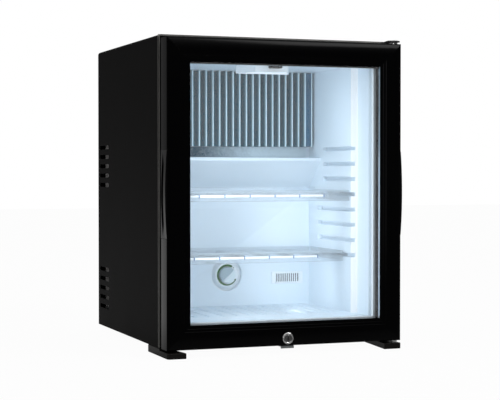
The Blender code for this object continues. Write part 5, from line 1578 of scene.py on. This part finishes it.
@dataclass
class Thermostat:
    """Raised dial in a round recess, with a tapering green arc round a ridged knob."""

    place: tuple[float, float] = (-0.008, 0.095)
    recess_depth: float = 0.008
    recess_radius: float = 0.0285
    ring_radius: float = 0.0189
    knob_radius: float = 0.0143
    ridge_angle: float = 42.0
    marks: tuple = ((46.0, 0.0009), (-30.0, 0.0017))

    @property
    def floor(self) -> float:
        """Where the recess ends, as a y in cabinet coordinates."""
        return CAVITY_DEPTH + self.recess_depth

    def dial(self) -> Surface:
        """Dial: flat rim, a cosine slope up to a flat ring, and a well for the knob.

        Returns:
            The turned dial.
        """
        share = np.linspace(0.0, 1.0, 15)
        slope = np.stack((self.recess_radius - 0.0020 - 0.0060 * share,
                          0.0006 + 0.0090 * (1 - np.cos(share * math.pi)) / 2), axis=1)
        edge = self.recess_radius - FIT_GAP
        profile = np.vstack((((0.0040, 0.0), (edge, 0.0), (edge, 0.0006)), slope,
                             ((0.0158, 0.0096), (0.0154, 0.0092), (0.0154, 0.0021), (0.0040, 0.0021))))
        place = (self.place[0], self.floor - FIT_GAP, self.place[1])
        return turned(profile, place, (0, -1, 0), 96, closed=True)

    def arc_mark(self) -> Surface:
        """Green arc: radius runs from the ring's edge inwards by a width that tapers with the angle.

        Returns:
            The flat mark.
        """
        angle = np.radians(np.linspace(58.0, 324.0, 90))
        width = 0.0034 - 0.0016 * np.clip((np.degrees(angle) - 225.0) / 95.0, 0, 1)
        across = np.array((0.0, 1.0))
        radius = self.ring_radius - width[:, None] * across
        level = self.floor - FIT_GAP - 0.0096
        x = self.place[0] + radius * np.cos(angle)[:, None]
        z = self.place[1] + radius * np.sin(angle)[:, None]
        sheets = [np.stack((x, np.full(x.shape, level - rise), z), axis=-1).transpose(1, 0, 2)
                  for rise in (0.00025, -0.0001)]
        return slab(*sheets)

    def dots(self) -> Surface:
        """Two round marks past the ends of the arc.

        Returns:
            Both marks.
        """
        level = self.floor - FIT_GAP - 0.0095
        radius = self.ring_radius - 0.0011
        return gathered(turned([(0.0, 0.0003), (size - 0.0001, 0.0003), (size, 0.0002), (size, -0.0001),
                                (0.0, -0.0001)],
                               (self.place[0] + radius * math.cos(math.radians(angle)), level,
                                self.place[1] + radius * math.sin(math.radians(angle))), (0, -1, 0), 24)
                        for angle, size in self.marks)

    def knob(self) -> Surface:
        """Knob: a turned body whose face is raised to a ridge along one diameter.

        The face's height is 13 mm plus 4.6 mm times (1 − distance from the ridge line over 11 mm),
        fading near the rim with the square root of (1 − share²); one flank is steeper than the other.

        Returns:
            The closed knob.
        """
        share = np.concatenate((np.linspace(0.0, 0.9, 19), (0.94, 0.97, 0.99, 1.0)))[:, None]
        angle = np.linspace(0.0, 2 * math.pi, 96, endpoint=False)
        u, v = share * np.cos(angle), share * np.sin(angle)
        turn = math.radians(self.ridge_angle)
        off = -u * math.sin(turn) + v * math.cos(turn)
        flank = np.where(off > 0, np.clip(1 - off / 0.75, 0, 1), np.clip(1 + off / 0.16, 0, 1))
        rim = np.sqrt(np.clip(1 - share ** 4, 0, 1))
        seat = self.floor - FIT_GAP - 0.002 - FIT_GAP
        height = 0.0118 + 0.0012 * rim + 0.0046 * flank * rim
        radius = self.knob_radius * share * np.ones_like(angle)
        skirt = [(0.0143, 0.0), (0.0030, 0.0), (0.0030, -0.018), (0.0, -0.018)]
        rows = [np.stack((self.place[0] + radius * np.cos(angle), seat - height,
                          self.place[1] + radius * np.sin(angle)), axis=-1)]
        for wide, rise in skirt:
            rows.append(np.stack((self.place[0] + wide * np.cos(angle), np.full(96, seat - rise),
                                  self.place[1] + wide * np.sin(angle)), axis=-1)[None])
        return Surface().grid(np.concatenate(rows), wrap_columns=True)

    def build(self) -> None:
        """Place the dial, its marks and the knob."""
        lay("raised_dial", self.dial(), WHITE_PLASTIC, "cabinet", ("thermostat_dial",), smooth=32.0)
        added("dial_arc", self.arc_mark(), MARK_GREEN, "cabinet")
        added("dial_dots", self.dots(), MARK_GREEN, "cabinet")
        lay("ridged_knob", self.knob(), KNOB_PLASTIC_HALF_SHADE, "knob", ("thermostat_knob",), smooth=38.0)


@dataclass
class SensorGrille:
    """Slotted cover over the temperature sensor, with a raised middle and a dark gauze behind."""

    low: tuple[float, float] = (0.077, 0.077)
    size: tuple[float, float] = (0.060, 0.0215)
    slots: int = 11
    pitch: float = 0.00404
    slot: tuple[float, float] = (0.0024, 0.0148)
    inset: float = 0.0068
    gauze: tuple[float, float] = (0.0235, 0.0078)

    def build(self) -> None:
        """Carve and place the cover and the gauze."""
        rear = CAVITY_DEPTH - FIT_GAP
        (x0, z0), (x1, z1) = self.low, np.add(self.low, self.size)
        x, z = (x0 + x1) / 2, (z0 + z1) / 2
        wide, tall = self.slot[0] / 2, self.slot[1] / 2
        cover = rounded_block((x0, rear - 0.0016, z0), (x1, rear, z1), 0.0007)
        raised = rounded_block((x0 + self.inset, rear - 0.0026, z0 + 0.0012),
                               (x1 - self.inset, rear - 0.0008, z1 - 0.0012), 0.0006)
        stations = x + self.pitch * (np.arange(self.slots) - (self.slots - 1) / 2)
        slots = [rounded_block((place - wide, rear - 0.006, z - tall), (place + wide, rear + 0.006, z + tall),
                               0.0005, 1) for place in stations]
        lay("sensor_grille", carved(joined(cover, [raised]), slots), WHITE_PLASTIC, "cabinet",
            ("sensor_cover",), smooth=35.0)
        half, rise = self.gauze
        gauze = rounded_block((x - half, rear + 0.0012, z - rise), (x + half, rear + 0.0020, z + rise),
                              0.0003, 1)
        added("sensor_gauze", gauze, GAUZE, "cabinet")


@dataclass
class Tray:
    """Clear shelf with a lipped front, side rails in the liner's grooves and ribs under its deck."""

    node: str
    body: str
    level: float
    front: float
    half: float = 0.1475
    depth: float = 0.150
    wall: float = 0.0022
    rear_lip: float = 0.0072
    lip: float = 0.0072
    skirt: float = 0.0108
    rib_pitch: float = 0.044
    rib_shift: float = 0.0126
    lug_reach: float = 0.1574
    lug_half: float = 0.0030
    lug_length: float = 0.110

    def section(self) -> np.ndarray:
        """Front, deck and rear of the tray as one (y, z) outline with soft corners.

        Returns:
            The outline's corners.
        """
        low, top, rear = 0.0028, 0.005, self.depth - self.wall
        corners = [(0.0, -self.skirt), (self.wall, -self.skirt), (self.wall, low), (rear, low),
                   (rear, -self.skirt), (self.depth, -self.skirt), (self.depth, self.rear_lip),
                   (rear, self.rear_lip), (rear, top), (self.wall, top), (self.wall, self.lip),
                   (0.0, self.lip)]
        return rounded_outline(corners, 0.0009, 3) + (self.front, self.level)

    def block(self, x: Sequence[float], y: Sequence[float], z: Sequence[float], radius: float,
              steps: int) -> Surface:
        """A round-edged block, placed from the tray's front edge and deck.

        Args:
            x: its two ends across.
            y: its two ends behind the front edge.
            z: its two ends over the deck.
            radius: radius of its edges.
            steps: pieces of each quarter circle.

        Returns:
            The block.
        """
        (x0, x1), (y0, y1), (z0, z1) = sorted(x), y, z
        return rounded_block((x0, self.front + y0, self.level + z0), (x1, self.front + y1, self.level + z1),
                             radius, steps)

    def build(self) -> None:
        """Place the tray with its ribs and rails, white bars on its front as painted highlights, and blue
        ticks as painted rib shadows.
        """
        count = int((self.half - 0.004) / self.rib_pitch)
        stations = self.rib_shift + self.rib_pitch * np.arange(-count, count)
        solids = [self.block((place - 0.0009, place + 0.0009), (0.0023, self.depth - 0.0023),
                             (-0.0034, 0.0029), 0.0004, 2) for place in stations]
        for side in (-1, 1):
            wall = (side * (self.half - 0.0026), side * self.half)
            lug = (side * self.lug_reach, side * (self.half - 0.003))
            solids += [self.block(wall, (0.001, self.depth * 0.94), (-0.0100, self.lip), 0.0008, 2),
                       self.block(lug, (0.002, 0.002 + self.lug_length), (-self.lug_half, self.lug_half),
                                  0.0008, 3)]
        tray = joined(prism("X", self.section(), -self.half, self.half), solids)
        lay(self.node + "_moulding", tray, CLEAR_PLASTIC, self.body, (self.node,), smooth=40.0)
        # White bars between the ribs: painted highlights on the clear front edge.
        starts = (stations[0] - self.rib_pitch * 0.62, *stations[:-1])
        bars = gathered(self.block((start + 0.0016, end - 0.0008), (-0.0005, 0.0009), (-0.0036, -0.0001),
                                   0.0006, 3) for start, end in zip(starts, stations))
        added(self.node + "_front_highlight_bead", bars, EDGE_HIGHLIGHT_WHITE, self.body)
        # Blue ticks at the ribs: painted shadows of the ribs in the clear front.
        ticks = gathered(self.block((place - 0.0005, place + 0.0009), (-0.0007, 0.0006), (-0.0046, 0.0010),
                                    0.0003, 2) for place in stations)
        added(self.node + "_rib_shadow_ticks", ticks, RIB_SHADOW_BLUE, self.body)


@dataclass
class DoorSeal:
    """White inner frame behind the panes and the magnetic gasket that it carries."""

    skin: float = 0.0175
    bead: float = 0.0277
    inner: float = 0.0392
    inset: float = 0.0185
    width: float = 0.015
    dart: float = 0.0017
    dart_length: float = 0.005
    gap: float = 0.009

    def inner_frame(self) -> Surface:
        """White ring with a groove for the gasket's dart.

        Returns:
            The closed ring.
        """
        middle = self.inset + self.width / 2
        groove = self.dart + FIT_GAP
        front, rear, floor = self.bead + FIT_GAP, DOOR_THICKNESS, DOOR_THICKNESS - self.dart_length
        return framed(rounded_outline(
            [(self.skin + FIT_GAP, front), (self.inner, front), (self.inner, rear - 0.002),
             (self.inner - 0.002, rear), (middle + groove, rear), (middle + groove, floor),
             (middle - groove, floor), (middle - groove, rear), (self.skin + FIT_GAP, rear)], 0.0005, 2))

    def gasket(self) -> Surface:
        """Gasket: foot with its dart, folded bellows and a bulb that holds the magnet strip.

        Returns:
            The closed ring.
        """
        middle = self.inset + self.width / 2
        foot, face = DOOR_THICKNESS + FIT_GAP, DOOR_THICKNESS + self.gap - FIT_GAP
        waist, bulb = foot + 0.0025, self.width / 2 - 0.0025
        magnet, pocket = bulb - 0.0023, face - 0.0034
        floor = DOOR_THICKNESS - self.dart_length + FIT_GAP
        right = [(self.inset + self.width, foot), (self.inset + self.width, foot + 0.0009),
                 (middle + bulb - 0.0004, waist - 0.0008), (middle + bulb + 0.0003, waist + 0.0006),
                 (middle + bulb - 0.0009, waist + 0.0017), (middle + bulb, waist + 0.0028),
                 (middle + bulb, face), (middle + magnet, face), (middle + magnet, pocket)]
        left = [(2 * middle - inset, depth) for inset, depth in reversed(right)]
        dart = [(middle - self.dart, foot), (middle - self.dart, floor), (middle + self.dart, floor),
                (middle + self.dart, foot)]
        return framed(rounded_outline(right + left + dart, 0.00035, 2))

    def build(self) -> None:
        """Place the ring and the gasket."""
        lay("inner_frame_moulding", self.inner_frame(), WHITE_PLASTIC, "door", ("inner_door_frame",),
            smooth=35.0)
        lay("bellows_gasket", self.gasket(), WHITE_RUBBER, "door", ("door_gasket",), smooth=50.0)


@dataclass
class Grips:
    """Finger grips let into the door's two sides."""

    edge: float = 0.0005

    def build(self) -> None:
        """Place both grips with soft edges."""
        refine("left_grip", self.edge)
        refine("right_grip", self.edge)


@dataclass
class HingeSet:
    """Hinge pins with collars, bushes, and the top bracket with its screws."""

    pin: float = 0.0029
    collar: float = 0.0045
    bush: float = 0.0048
    engagement: float = 0.009

    def build(self) -> None:
        """Place bracket, pins, bushes and screws."""
        refine("top_hinge_bracket", 0.0005)
        arm_top, arm_low, drop, foot = 0.4924, 0.4899, 0.0034, 0.0125
        head = arm_top + FIT_GAP
        upper = [(0.0, head + 0.0012), (self.collar - 0.0012, head + 0.0012),
                 (self.collar - 0.0005, head + 0.0010), (self.collar - 0.0001, head + 0.0006),
                 (self.collar, head), (self.pin, head), (self.pin, arm_low - FIT_GAP),
                 (self.collar, arm_low - FIT_GAP), (self.collar, DOOR_TOP + FIT_GAP),
                 (self.pin, DOOR_TOP + FIT_GAP), (self.pin, DOOR_TOP - self.engagement + 0.0006),
                 (self.pin - 0.0006, DOOR_TOP - self.engagement), (0.0, DOOR_TOP - self.engagement)]
        top = DOOR_BOTTOM + self.engagement
        lower = [(0.0, top), (self.pin - 0.0006, top), (self.pin, top - 0.0006),
                 (self.pin, DOOR_BOTTOM - FIT_GAP), (self.collar, DOOR_BOTTOM - FIT_GAP),
                 (self.collar, FIT_GAP - drop), (self.pin, FIT_GAP - drop), (self.pin, 0.0005 - foot),
                 (0.0, 0.0005 - foot)]
        for name, profile in (("upper_hinge_pin", upper), ("lower_hinge_pin", lower)):
            lay("turned_" + name, turned(profile, HINGE, (0, 0, 1), 40), CHROME, "cabinet",
                (name,))
        bore = self.pin + FIT_GAP
        for name, low, high in (("lower_hinge_bush", DOOR_BOTTOM, DOOR_BOTTOM + 0.0098),
                                ("upper_hinge_bush", DOOR_TOP - 0.0098, DOOR_TOP)):
            profile = [(bore + 0.0003, low), (self.bush - 0.0003, low), (self.bush, low + 0.0003),
                       (self.bush, high - 0.0003), (self.bush - 0.0003, high), (bore + 0.0003, high),
                       (bore, high - 0.0003), (bore, low + 0.0003)]
            lay("turned_" + name, turned(profile, HINGE, (0, 0, 1), 40, True), WHITE_PLASTIC,
                "door", (name,))
        screw_set("bracket_screws", [(0.193, -0.0028, z) for z in (0.4684, 0.4804)], (0, -1, 0),
                  (0.0032, 0.0015), (20.0, 65.0), False)


@dataclass
class LockSet:
    """Chrome cylinder with a rounded rim, its keyed plug, and the screws of the keeper."""

    flange: float = 0.0093
    barrel: float = 0.008
    length: float = 0.0115
    plug: float = 0.006

    def housing(self) -> Surface:
        """Rim: a quarter-round outer edge, a crown and a slope down to the plug.

        Returns:
            The turned rim.
        """
        rise = 0.0014
        turn = np.linspace(0.0, math.pi / 2, 8)
        rim = np.stack((self.flange - 0.0014 + 0.0014 * np.cos(turn), rise - 0.0012 + 0.0012 * np.sin(turn)),
                       axis=1)
        bore = self.plug + FIT_GAP
        profile = np.vstack((((self.flange, 0.0),), rim,
                             ((bore + 0.0011, rise), (bore + 0.0003, rise - 0.0004), (bore, rise - 0.0010),
                              (bore, -self.length), (self.barrel, -self.length), (self.barrel, 0.0))))
        return turned(profile, (0.0, DOOR_FRONT - FIT_GAP, LOCK_HEIGHT), (0, -1, 0), 64, closed=True)

    def cylinder(self) -> bpy.types.Mesh:
        """Plug with an upright keyway that widens in the middle.

        Returns:
            The plug with its keyway.
        """
        front, neck = 0.0009, -self.length - 0.0008
        stub = neck - 0.0025 - 0.0028
        start = DOOR_FRONT - FIT_GAP
        plug = turned([(0.0, front - 0.0002), (0.0040, front - 0.0001), (self.plug - 0.0008, front),
                       (self.plug - 0.0002, front - 0.0003), (self.plug, front - 0.0008), (self.plug, neck),
                       (0.003, neck), (0.003, stub), (0.0, stub)], (0.0, start, LOCK_HEIGHT), (0, -1, 0), 64)
        slot = rounded_block((-0.0008, start - 0.004, LOCK_HEIGHT - 0.0036),
                             (0.0008, start + 0.005, LOCK_HEIGHT + 0.0036), 0.0004, 2)
        eye = rod(0.0017, -0.005, 0.004, (0.0, start, LOCK_HEIGHT - 0.0004), (0, -1, 0))
        return carved(plug, [slot, eye])

    def build(self) -> None:
        """Place rim, plug and keeper with its screws."""
        lay("lock_rim", self.housing(), CHROME, "door", ("lock_housing",), smooth=35.0)
        lay("keyed_plug", self.cylinder(), LOCK_METAL, body_of("lock_plug"), ("lock_plug",), smooth=35.0)
        refine("lock_keeper", 0.0003)
        refine("lock_cam", 0.0003)
        screw_set("keeper_screws", [(0.00225, y, -0.0018) for y in (0.012, 0.026)], (0, 0, -1),
                  (0.0030, 0.0013), (12.0, 51.0))


@dataclass
class Feet:
    """Front feet with soft edges and turned rear feet with rings in their soles."""

    radius: float = 0.014
    height: float = 0.0125
    place: tuple[float, float] = (0.150, 0.265)

    def rear(self, side: int) -> Surface:
        """Rear foot: a tapered button, its sole's height a wave of the radius.

        Args:
            side: -1 for the left foot, 1 for the right.

        Returns:
            The turned foot.
        """
        share = np.linspace(0.0, 1.0, 33)
        radius = (self.radius - 0.0022) * share
        sole = -self.height + 0.0003 + 0.0003 * np.cos(share * math.pi * 8)
        edge = arc((self.radius - 0.0022, -self.height + 0.0022), 0.0022, -90, 0, 6)
        profile = np.vstack((np.stack((radius, sole), axis=1), edge,
                             ((self.radius - 0.0016, -0.0026), (self.radius - 0.002, -FIT_GAP),
                              (0.0, -FIT_GAP))))
        return turned(profile, (side * self.place[0], self.place[1], 0.0), (0, 0, 1), 64)

    def build(self) -> None:
        """Place all four feet."""
        refine("left_front_foot", 0.0012, 3)
        refine("right_front_foot", 0.0012, 3)
        for side, name in ((-1, "left_rear_foot"), (1, "right_rear_foot")):
            lay(name + "_button", self.rear(side), FOOT_PLASTIC, "cabinet", (name,))


@dataclass
class CoolingUnit:
    """Absorption unit: jacketed boiler, finned condenser, heat exchanger, coil and vessel."""

    y: float = 0.318
    boiler_x: float = -0.150
    span: float = 0.095
    entry: float = 0.2753
    tube_height: float = 0.370
    top: float = 0.455
    jacket: tuple[float, float, float] = (0.030, 0.070, 0.325)
    vessel: tuple[float, float, float] = (0.026, -0.112, 0.160)
    vessel_z: float = 0.055
    coil_left: float = -0.050
    coil_right: float = 0.150
    rise: float = 0.034
    passes: int = 5
    foot: float = 0.020
    foot_bend: float = 0.014

    @property
    def start(self) -> float:
        """Top of the vessel, where pipes stand on it."""
        return self.vessel_z + self.vessel[0] + FIT_GAP

    def upright(self, profile: Sequence[Sequence[float]], x: float, steps: int = 40,
                closed: bool = False) -> Surface:
        """A body turned about an upright line in the unit's plane, as turned() makes it."""
        return turned(profile, (x, self.y, 0.0), (0, 0, 1), steps, closed)

    def bead(self, place: Axis, direction: Axis, radius: float, size: float) -> Surface:
        """Weld: radius plus size times sine, at size·1.6 times cosine along the tube.

        Args:
            place: middle of the weld.
            direction: unit vector along the tube.
            radius: the tube's radius.
            size: how far the weld stands out.

        Returns:
            The weld.
        """
        turn = np.linspace(0.0, math.pi, 9)
        profile = np.vstack((np.stack((radius + size * np.sin(turn), -1.6 * size * np.cos(turn)), axis=1),
                             ((radius - 0.0004, 1.5 * size), (radius - 0.0004, -1.5 * size))))
        return turned(profile, place, direction, 40, closed=True)

    def coil_path(self) -> np.ndarray:
        """Zigzag from the vessel up to the exchanger, with half-round ends.

        Returns:
            Points of shape (count, 3).
        """
        level, bend = self.start + self.foot, self.rise / 2
        ends = (self.coil_left - bend, self.coil_right - self.foot_bend + bend)
        corners = [(self.coil_right, self.start), (self.coil_right, level)]
        for index in range(self.passes - 1):
            corners += [(ends[index % 2], level), (ends[index % 2], level + self.rise)]
            level += self.rise
        corners.append((-self.span + 0.0113, level))
        radii = [self.foot_bend] + [bend] * 2 * (self.passes - 1)
        path = np.insert(np.asarray(corners), 1, self.y, axis=1)
        return spaced(bend_path(path, np.asarray(radii), 14))

    def pipes(self) -> None:
        """Place the condenser, exchanger, coil and solution pipes, and the welds at their ends."""
        x, y, start, high = self.boiler_x, self.y, self.start, self.tube_height
        vessel, left, right = self.vessel
        condenser = bend_path([(x, y, 0.3303), (x, y, self.top), (self.span, y, self.top),
                               (self.span, y, high), (self.span, self.entry, high)], 0.018)
        exchanger = bend_path([(-self.span, self.entry, high), (-self.span, y, high), (-self.span, y, start)],
                              0.020)
        solution = bend_path([(left - FIT_GAP, y, self.vessel_z), (x, y, self.vessel_z), (x, y, 0.0657)],
                             0.009)
        for name, node, path, radius in (("condenser_pipe", "condenser_tube", condenser, 0.008),
                                         ("exchanger_pipe", "gas_heat_exchanger", exchanger, 0.011),
                                         ("absorber_pipe", "absorber_coil", self.coil_path(), 0.007),
                                         ("solution_pipe", "liquid_heat_exchanger", solution, 0.005)):
            lay(name, tube(path, radius, 32), BLACK_STEEL, "cabinet", (node,))
        level = start + self.foot + self.rise * (self.passes - 1)
        upward, across, back = (0, 0, 1), (1, 0, 0), (0, 1, 0)
        beads = gathered(self.bead(*weld) for weld in (
            ((x, y, 0.3312), upward, 0.008, 0.0016), ((-self.span, y, start + 0.0012), upward, 0.011, 0.0015),
            ((self.coil_right, y, start + 0.0010), upward, 0.007, 0.0013),
            ((-self.span + 0.0118, y, level), across, 0.007, 0.0013),
            ((self.span, self.entry + 0.002, high), back, 0.008, 0.0012),
            ((-self.span, self.entry + 0.002, high), back, 0.011, 0.0012),
            ((left + 0.011, y, self.vessel_z), across, vessel, 0.0011),
            ((right - 0.011, y, self.vessel_z), across, vessel, 0.0011)))
        added("weld_beads", beads, WELD_STEEL, "cabinet", 50.0)

    def pressure_vessel(self) -> None:
        """Vessel with domed ends, and its filling stub."""
        radius, left, right = self.vessel
        turn, length = np.linspace(0.0, math.pi / 2, 13), right - left
        dome = np.stack((radius * np.sin(turn), 0.010 * np.cos(turn)), axis=1)
        profile = np.vstack((dome * (1, -1) + (0, 0.010), (dome * (1, 1) + (0, length - 0.010))[::-1]))
        lay("domed_vessel", turned(profile, (left, self.y, self.vessel_z), (1, 0, 0), 72), BLACK_STEEL,
            "cabinet", ("absorber_vessel",), smooth=40.0)
        stub = [(0.0, 0.0), (0.0042, 0.0), (0.0030, 0.0018), (0.0030, 0.0090), (0.0036, 0.0095),
                (0.0036, 0.0125), (0.0024, 0.0138), (0.0, 0.0138)]
        added("filling_stub", turned(stub, (right - 0.0006, self.y, self.vessel_z), (1, 0, 0), 32),
              BLACK_STEEL, "cabinet")

    def boiler(self) -> None:
        """Jacket with rolled beads and a lock seam, the boiler tube, the heater and its boot."""
        radius, low, high = self.jacket
        z = np.linspace(low + 0.003, high - 0.003, 121)
        rolls = sum(np.exp(-((z - place) / 0.0022) ** 2) for place in (low + 0.020, (low + high) / 2 - 0.04,
                                                                    high - 0.020))
        skin = np.stack((radius - 0.0006 + 0.0006 * rolls, z), axis=1)
        bore = 0.0103
        profile = np.vstack((((bore, low), (radius - 0.0034, low), (radius - 0.0012, low + 0.0009)), skin,
                             ((radius - 0.0012, high - 0.0009), (radius - 0.0034, high), (bore, high))))
        heater_x = self.boiler_x - 0.0185
        hole = rod(0.0065, 0.0, 0.1803, (heater_x, self.y, 0.0), (0, 0, 1))
        lay("rolled_jacket", carved(self.upright(profile, self.boiler_x, 72, True), [hole]), GALVANISED,
            "cabinet", ("boiler_jacket",), smooth=40.0)
        seam_x = self.boiler_x + (radius + 0.0002) * math.sin(math.radians(28))
        seam_y = self.y + (radius + 0.0002) * math.cos(math.radians(28))
        seam = rounded_block((seam_x - 0.0026, seam_y - 0.0012, low + 0.004),
                             (seam_x + 0.0026, seam_y + 0.0006, high - 0.004), 0.0005, 2)
        added("jacket_seam", seam, GALVANISED, "cabinet")
        pipe = [(0.0, 0.066), (0.0092, 0.066), (0.010, 0.0668), (0.010, 0.3292), (0.0092, 0.330),
                (0.0, 0.330)]
        lay("boiler_pipe", self.upright(pipe, self.boiler_x), BLACK_STEEL, "cabinet", ("boiler_tube",))
        cartridge = [(0.0, 0.048), (0.0054, 0.048), (0.0062, 0.0488), (0.0062, 0.1790), (0.0052, 0.180),
                     (0.0, 0.180)]
        lay("heater_rod", self.upright(cartridge, heater_x), CHROME, "cabinet", ("heating_element",))
        boot = [(0.0, 0.0352), (0.0092, 0.0352), (0.0094, 0.0372), (0.0078, 0.0386), (0.0078, 0.0402),
                (0.0086, 0.0410), (0.0086, 0.0424), (0.0074, 0.0436), (0.0074, 0.0500), (0.0066, 0.0510),
                (0.0066, 0.0470), (0.0, 0.0470)]
        added("heater_boot", self.upright(boot, heater_x), BLACK_RUBBER, "cabinet")

    def fins(self) -> None:
        """Condenser fins: sheets with round corners on one collar, bored for the tube."""
        count, pitch, sheet, depth, height = 15, 0.012, 0.0008, 0.048, 0.056
        run = (count - 1) * pitch
        first = (self.boiler_x + self.span - run) / 2
        outline = rounded_outline([(self.y + way * depth / 2, self.top + rise * height / 2)
                                   for way, rise in ((-1, -1), (1, -1), (1, 1), (-1, 1))], 0.004, 5)
        axis, across = (0.0, self.y, self.top), (1, 0, 0)
        sheets = [prism("X", outline, first + index * pitch, first + index * pitch + sheet)
                  for index in range(count)]
        collar = rod(0.0095, first, first + run + sheet, axis, across, 40)
        bore = rod(0.0083, first - 0.01, first + run + 0.02, axis, across, 40)
        lay("condenser_sheets", carved(joined(collar, sheets), [bore]), ALUMINIUM_PLAIN, "cabinet",
            ("condenser_fins",), smooth=35.0)

    def terminal_box(self) -> None:
        """Terminal box with a lipped lid on screws, and the ribbed gland."""
        low, high = (-0.195, 0.290, 0.0012), (-0.120, 0.348, 0.0352)
        body = rounded_block((low[0] + 0.0007, low[1] + 0.0007, low[2]),
                             (high[0] - 0.0007, high[1] - 0.0007, high[2] - 0.004), 0.0022, 4)
        lid = rounded_block((low[0], low[1], high[2] - 0.0075), high, 0.0018, 4)
        lay("lidded_box", joined(body, [lid]), BLACK_PLASTIC, "cabinet", ("junction_box",), smooth=35.0)
        screw_set("box_screws", [(x, y, high[2] - 0.0003) for y in (0.295, 0.343) for x in (-0.190, -0.125)],
                  (0, 0, 1), (0.0028, 0.0014), (10.0, 47.0, 80.0, 25.0))
        angle = np.linspace(0.0, 2 * math.pi, 96, endpoint=False)
        hexagon = 1 / np.cos((angle + math.pi / 6) % (math.pi / 3) - math.pi / 6)
        ribbed = 1 + 0.035 * np.sign(np.cos(angle * 12))
        stations = [(0.0045, 0.0, 0), (0.0098, 0.0, 1), (0.0098, 0.0072, 1), (0.0076, 0.0074, 2),
                    (0.0080, 0.0090, 2), (0.0078, 0.0160, 2), (0.0066, 0.0210, 0), (0.0058, 0.0220, 0),
                    (0.0045, 0.0212, 0)]
        rows = []
        for radius, height, kind in stations:
            wide = radius * (np.ones_like(angle), hexagon * 0.93, ribbed)[kind]
            rows.append(np.stack((-0.165 + wide * np.cos(angle), np.full(96, 0.3483 + height),
                                  0.0182 + wide * np.sin(angle)), axis=-1))
        gland = Surface().grid(np.stack(rows), wrap_rows=True, wrap_columns=True)
        lay("ribbed_gland", gland, BLACK_PLASTIC, "cabinet", ("cable_gland",), smooth=25.0)

    def build(self) -> None:
        """Place every part of the unit."""
        self.pipes()
        self.pressure_vessel()
        self.boiler()
        self.fins()
        self.terminal_box()
        refine("unit_strap", 0.0003)
        screw_set("strap_screws", [(x, 0.3498, 0.208) for x in (-0.158, -0.142, 0.190, -0.190)], (0, 1, 0),
                  (0.0036, 0.0018), (15.0, 60.0, 33.0, 71.0))


def dress_nodes() -> None:
    """Give every CAD node its finish."""
    for node, obj in frame["nodes"].items():
        material = NODE_FINISHES[node].material()
        for slot in obj.material_slots:
            slot.material = material
        if not obj.material_slots:
            obj.data.materials.append(material)


def main() -> None:
    """Set up the studio, dress the solids and build the sub-assemblies in order."""
    logging.basicConfig(level=logging.INFO, format="%(message)s")
    Studio().build()
    dress_nodes()
    for assembly in (Cabinet(), Liner(), Evaporator(), LampUnit(), Thermostat(), SensorGrille(),
                     Tray("upper_shelf", "upper_tray", 0.2398, 0.045, rear_lip=0.0112),
                     Tray("lower_shelf", "lower_tray", 0.1366, 0.071), DoorFrame(), DoorSeal(), Grips(),
                     HingeSet(), LockSet(), Feet(), CoolingUnit()):
        assembly.build()


if __name__ == "__main__":
    main()
